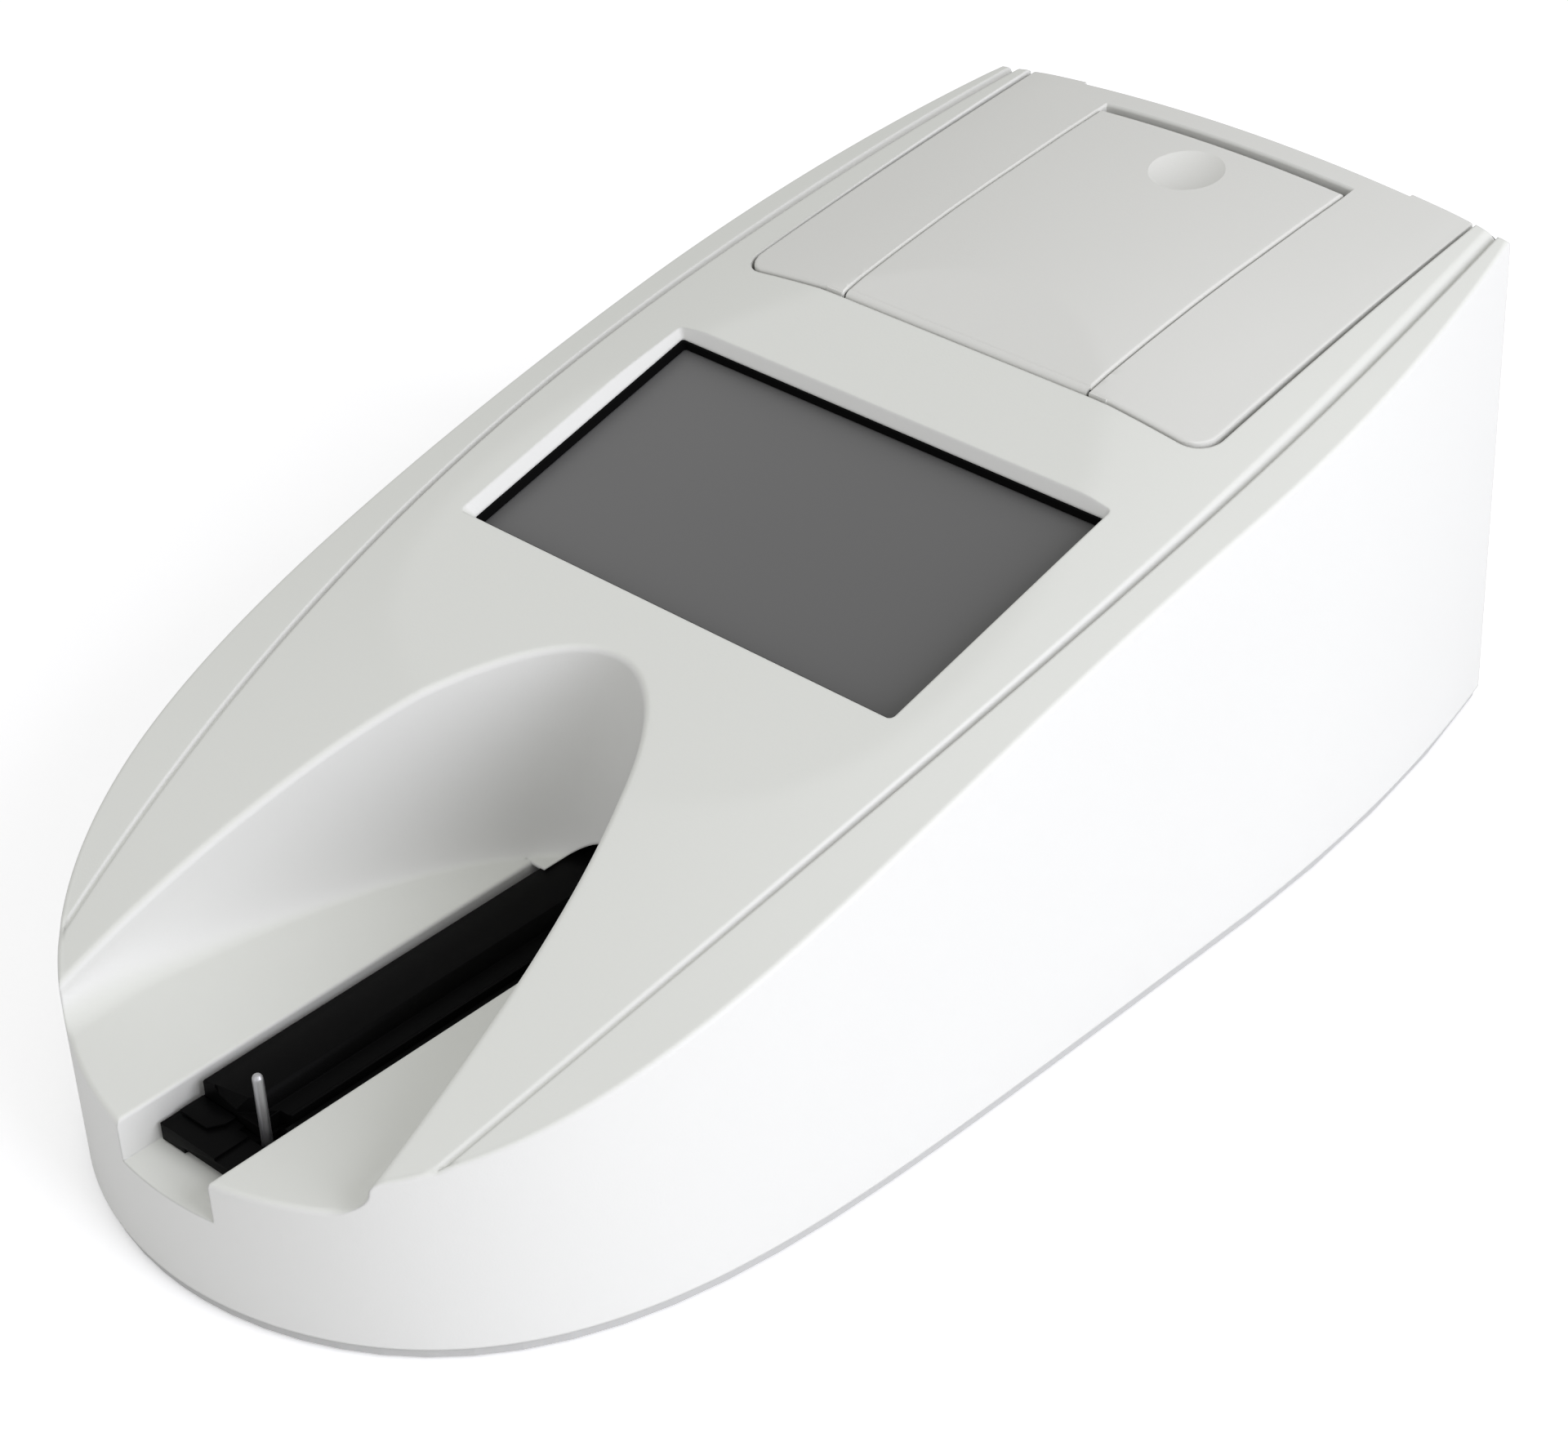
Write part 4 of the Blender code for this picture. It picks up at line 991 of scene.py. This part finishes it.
lightGrey = (srgb(214), srgb(215), srgb(209))
# painted light: the cooler grey given to the housing's walls where the light falls on them
paintedWallGrey = (srgb(212), srgb(212), srgb(208.5))
coverGrey = (srgb(210), srgb(210), srgb(205))
baseGrey = (srgb(180), srgb(180), srgb(178))
finishes = {
    # the housing's walls take the painted cooler grey through the sides argument
    "housing_grey": plastic("housingGrainAndPaintedWallLight", lightGrey, 0.5, 2300.0, 0.05, edge=0.7, sides=paintedWallGrey),
    "cover_grey": plastic("coverGrain", coverGrey, 0.5, 2300.0, 0.05),
    "base_grey": plastic("baseGrain", baseGrey, 0.55, 2300.0, 0.05),
    "tray_black": plastic("trayBlack", (0.0022, 0.0022, 0.0022), 0.42, 1500.0, 0.03, 0.2, specular=0.03),
    "inner_black": plastic("innerBlack", (0.004, 0.004, 0.004), 0.5, 1500.0, 0.03, 0.2, specular=0.07),
    "gasket_rubber": plastic("softBlack", (0.003, 0.003, 0.003), 0.75, 1200.0, 0.04, 0.2, specular=0.04),
    "foot_rubber": plastic("footRubber", (0.09, 0.09, 0.09), 0.8, 1000.0, 0.08, 0.15),
    "screen_glass": screenGlass("screenGlass"),
    "inner_grey": plastic("innerGrey", (0.2, 0.2, 0.21), 0.55, 1500.0, 0.05, 0.06),
    "pin_metal": brushed("pinMetal", (0.42, 0.42, 0.43), 0.42, (900.0, 900.0, 60.0)),
    "plated_steel": brushed("platedSteel", (0.6, 0.6, 0.61), 0.35, (60.0, 900.0, 900.0)),
    "paper_white": paperStock("paperRoll"),
    "pad_white": plastic("padWhite", (0.82, 0.82, 0.82), 0.45, 1500.0, 0.02, 0.02),
    "gear_white": plastic("gearWhite", (0.75, 0.74, 0.7), 0.45, 1500.0, 0.02, 0.03),
    "board_green": boardFinish("boardGreen"),
}


def dressAll():
    for obj in bpy.context.scene.objects:
        if obj.type != "MESH":
            continue
        slotName = obj.get("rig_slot") or slotOf.get(obj.get("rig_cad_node"))
        if slotName:
            obj.data.materials.clear()
            obj.data.materials.append(finishes[slotName])
            for polygon in obj.data.polygons:
                polygon.material_index = 0  # the CAD nodes and the cutters leave other indices


dressAll()
print("materials done")


# floor, light and camera

stageForm = {
    "floor": 3.0, "glow": 0.34, "worldLight": 0.6, "worldGloss": 0.15,
    "keyPower": 15.8, "keyColour": (0.975, 0.98, 1.06), "topPower": 1.8,
    "fillPower": 3.0, "fillColour": (0.975, 0.98, 1.05),
}


def makeFloor():
    deselectAll()
    bpy.ops.mesh.primitive_plane_add(size=stageForm["floor"], location=(0, 0, 0))
    floor = bpy.context.object
    floor.name = "studioFloor"
    made, shader, w = newMaterial("studioPaper")
    tree = made.node_tree
    place = w.make("TexCoord", out=3)
    speck = w.make("TexNoise", Vector=place, Scale=40.0, Detail=3.0)
    link(tree, shaded(w, (0.88, 0.88, 0.88, 1), 0.99 + speck * 0.02), shader.inputs["Base Color"])
    shader.inputs["Roughness"].default_value = 0.9
    shader.inputs["Specular IOR Level"].default_value = 0.1
    # a little brighter to the camera alone, so that it reads as white and keeps the shadow
    seen = w.make("LightPath", out=0)
    glow = w.make("Emission", Color=(1, 1, 1, 1), Strength=seen * stageForm["glow"])
    both = w.make("AddShader", i0=Wire(tree, shader.outputs[0]), i1=glow)
    output = next(n for n in tree.nodes if n.type == "OUTPUT_MATERIAL")
    link(tree, both, output.inputs["Surface"])
    floor.data.materials.append(made)


def makeWorld():
    world = bpy.data.worlds.new("studioAir")
    bpy.context.scene.world = world
    world.use_nodes = True
    tree = world.node_tree
    w = Wire(tree)
    path = w.make("LightPath")
    rays = [path.socket.node.outputs["Is " + kind + " Ray"] for kind in ("Camera", "Glossy", "Transmission")]
    camera, glossy, through = (Wire(tree, socket) for socket in rays)
    level = stageForm["worldLight"]
    background = next(n for n in tree.nodes if n.type == "BACKGROUND")
    background.inputs["Color"].default_value = (1, 1, 1, 1)
    strength = level + camera * (1 - level) + (glossy + through) * stageForm["worldGloss"]
    link(tree, strength, background.inputs["Strength"])


def outward(azimuth, elevation):
    # from the object towards a lamp or the camera
    a, e = math.radians(azimuth), math.radians(elevation)
    return Vector((math.sin(a) * math.cos(e), -math.cos(a) * math.cos(e), math.sin(e)))


def areaLight(name, azimuth, elevation, distance, size, power, colour=(1, 1, 1)):
    back = outward(azimuth, elevation)
    data = bpy.data.lights.new(name, "AREA")
    data.shape = "SQUARE"
    data.size = size
    data.energy = power
    data.color = colour
    lamp = bpy.data.objects.new(name, data)
    bpy.context.scene.collection.objects.link(lamp)
    lamp.location = back * distance + Vector((0, 0, 0.05))
    lamp.rotation_euler = back.to_track_quat("Z", "Y").to_euler()


# the fitted view of the photograph: angles in degrees, places in millimetres, the rest in its pixels
photoView = {
    "angles": (45.819, 35.546, -3.376), "distance": 768.710, "target": (-18.482, 15.427, 4.167),
    "size": (1920, 1766), "focal": 4779.184, "centre": (917.09, 996.51), "sensor": 36.0,
}


def makeCamera():
    azimuth, elevation, roll = photoView["angles"]
    target = Vector(photoView["target"])
    back = outward(azimuth, elevation)
    turn, roll = math.radians(azimuth), math.radians(roll)
    level = Vector((math.cos(turn), math.sin(turn), 0))
    upright = back.cross(level)
    right = math.cos(roll) * level + math.sin(roll) * upright
    up = -math.sin(roll) * level + math.cos(roll) * upright
    data = bpy.data.cameras.new("photoCamera")
    wide, tall = photoView["size"]
    centreX, centreY = photoView["centre"]
    data.lens = photoView["focal"] * photoView["sensor"] / wide
    data.sensor_width = photoView["sensor"]
    data.shift_x = (wide / 2 - centreX) / wide
    data.shift_y = (centreY - tall / 2) / wide
    data.clip_start, data.clip_end = 0.01, 50
    camera = bpy.data.objects.new("photoCamera", data)
    bpy.context.scene.collection.objects.link(camera)
    place = (target + back * photoView["distance"]) * mm
    camera.matrix_world = Matrix((
        (right.x, up.x, back.x, place.x), (right.y, up.y, back.y, place.y),
        (right.z, up.z, back.z, place.z), (0, 0, 0, 1)))
    bpy.context.scene.camera = camera


makeFloor()
makeWorld()
areaLight("keyLamp", 95, 24, 1.4, 1.1, stageForm["keyPower"], stageForm["keyColour"])
areaLight("topLamp", 20, 80, 1.5, 1.4, stageForm["topPower"])
areaLight("fillLamp", 10, 25, 1.6, 1.2, stageForm["fillPower"], stageForm["fillColour"])
makeCamera()
bpy.context.scene.view_settings.view_transform = "Standard"
print("stage done")
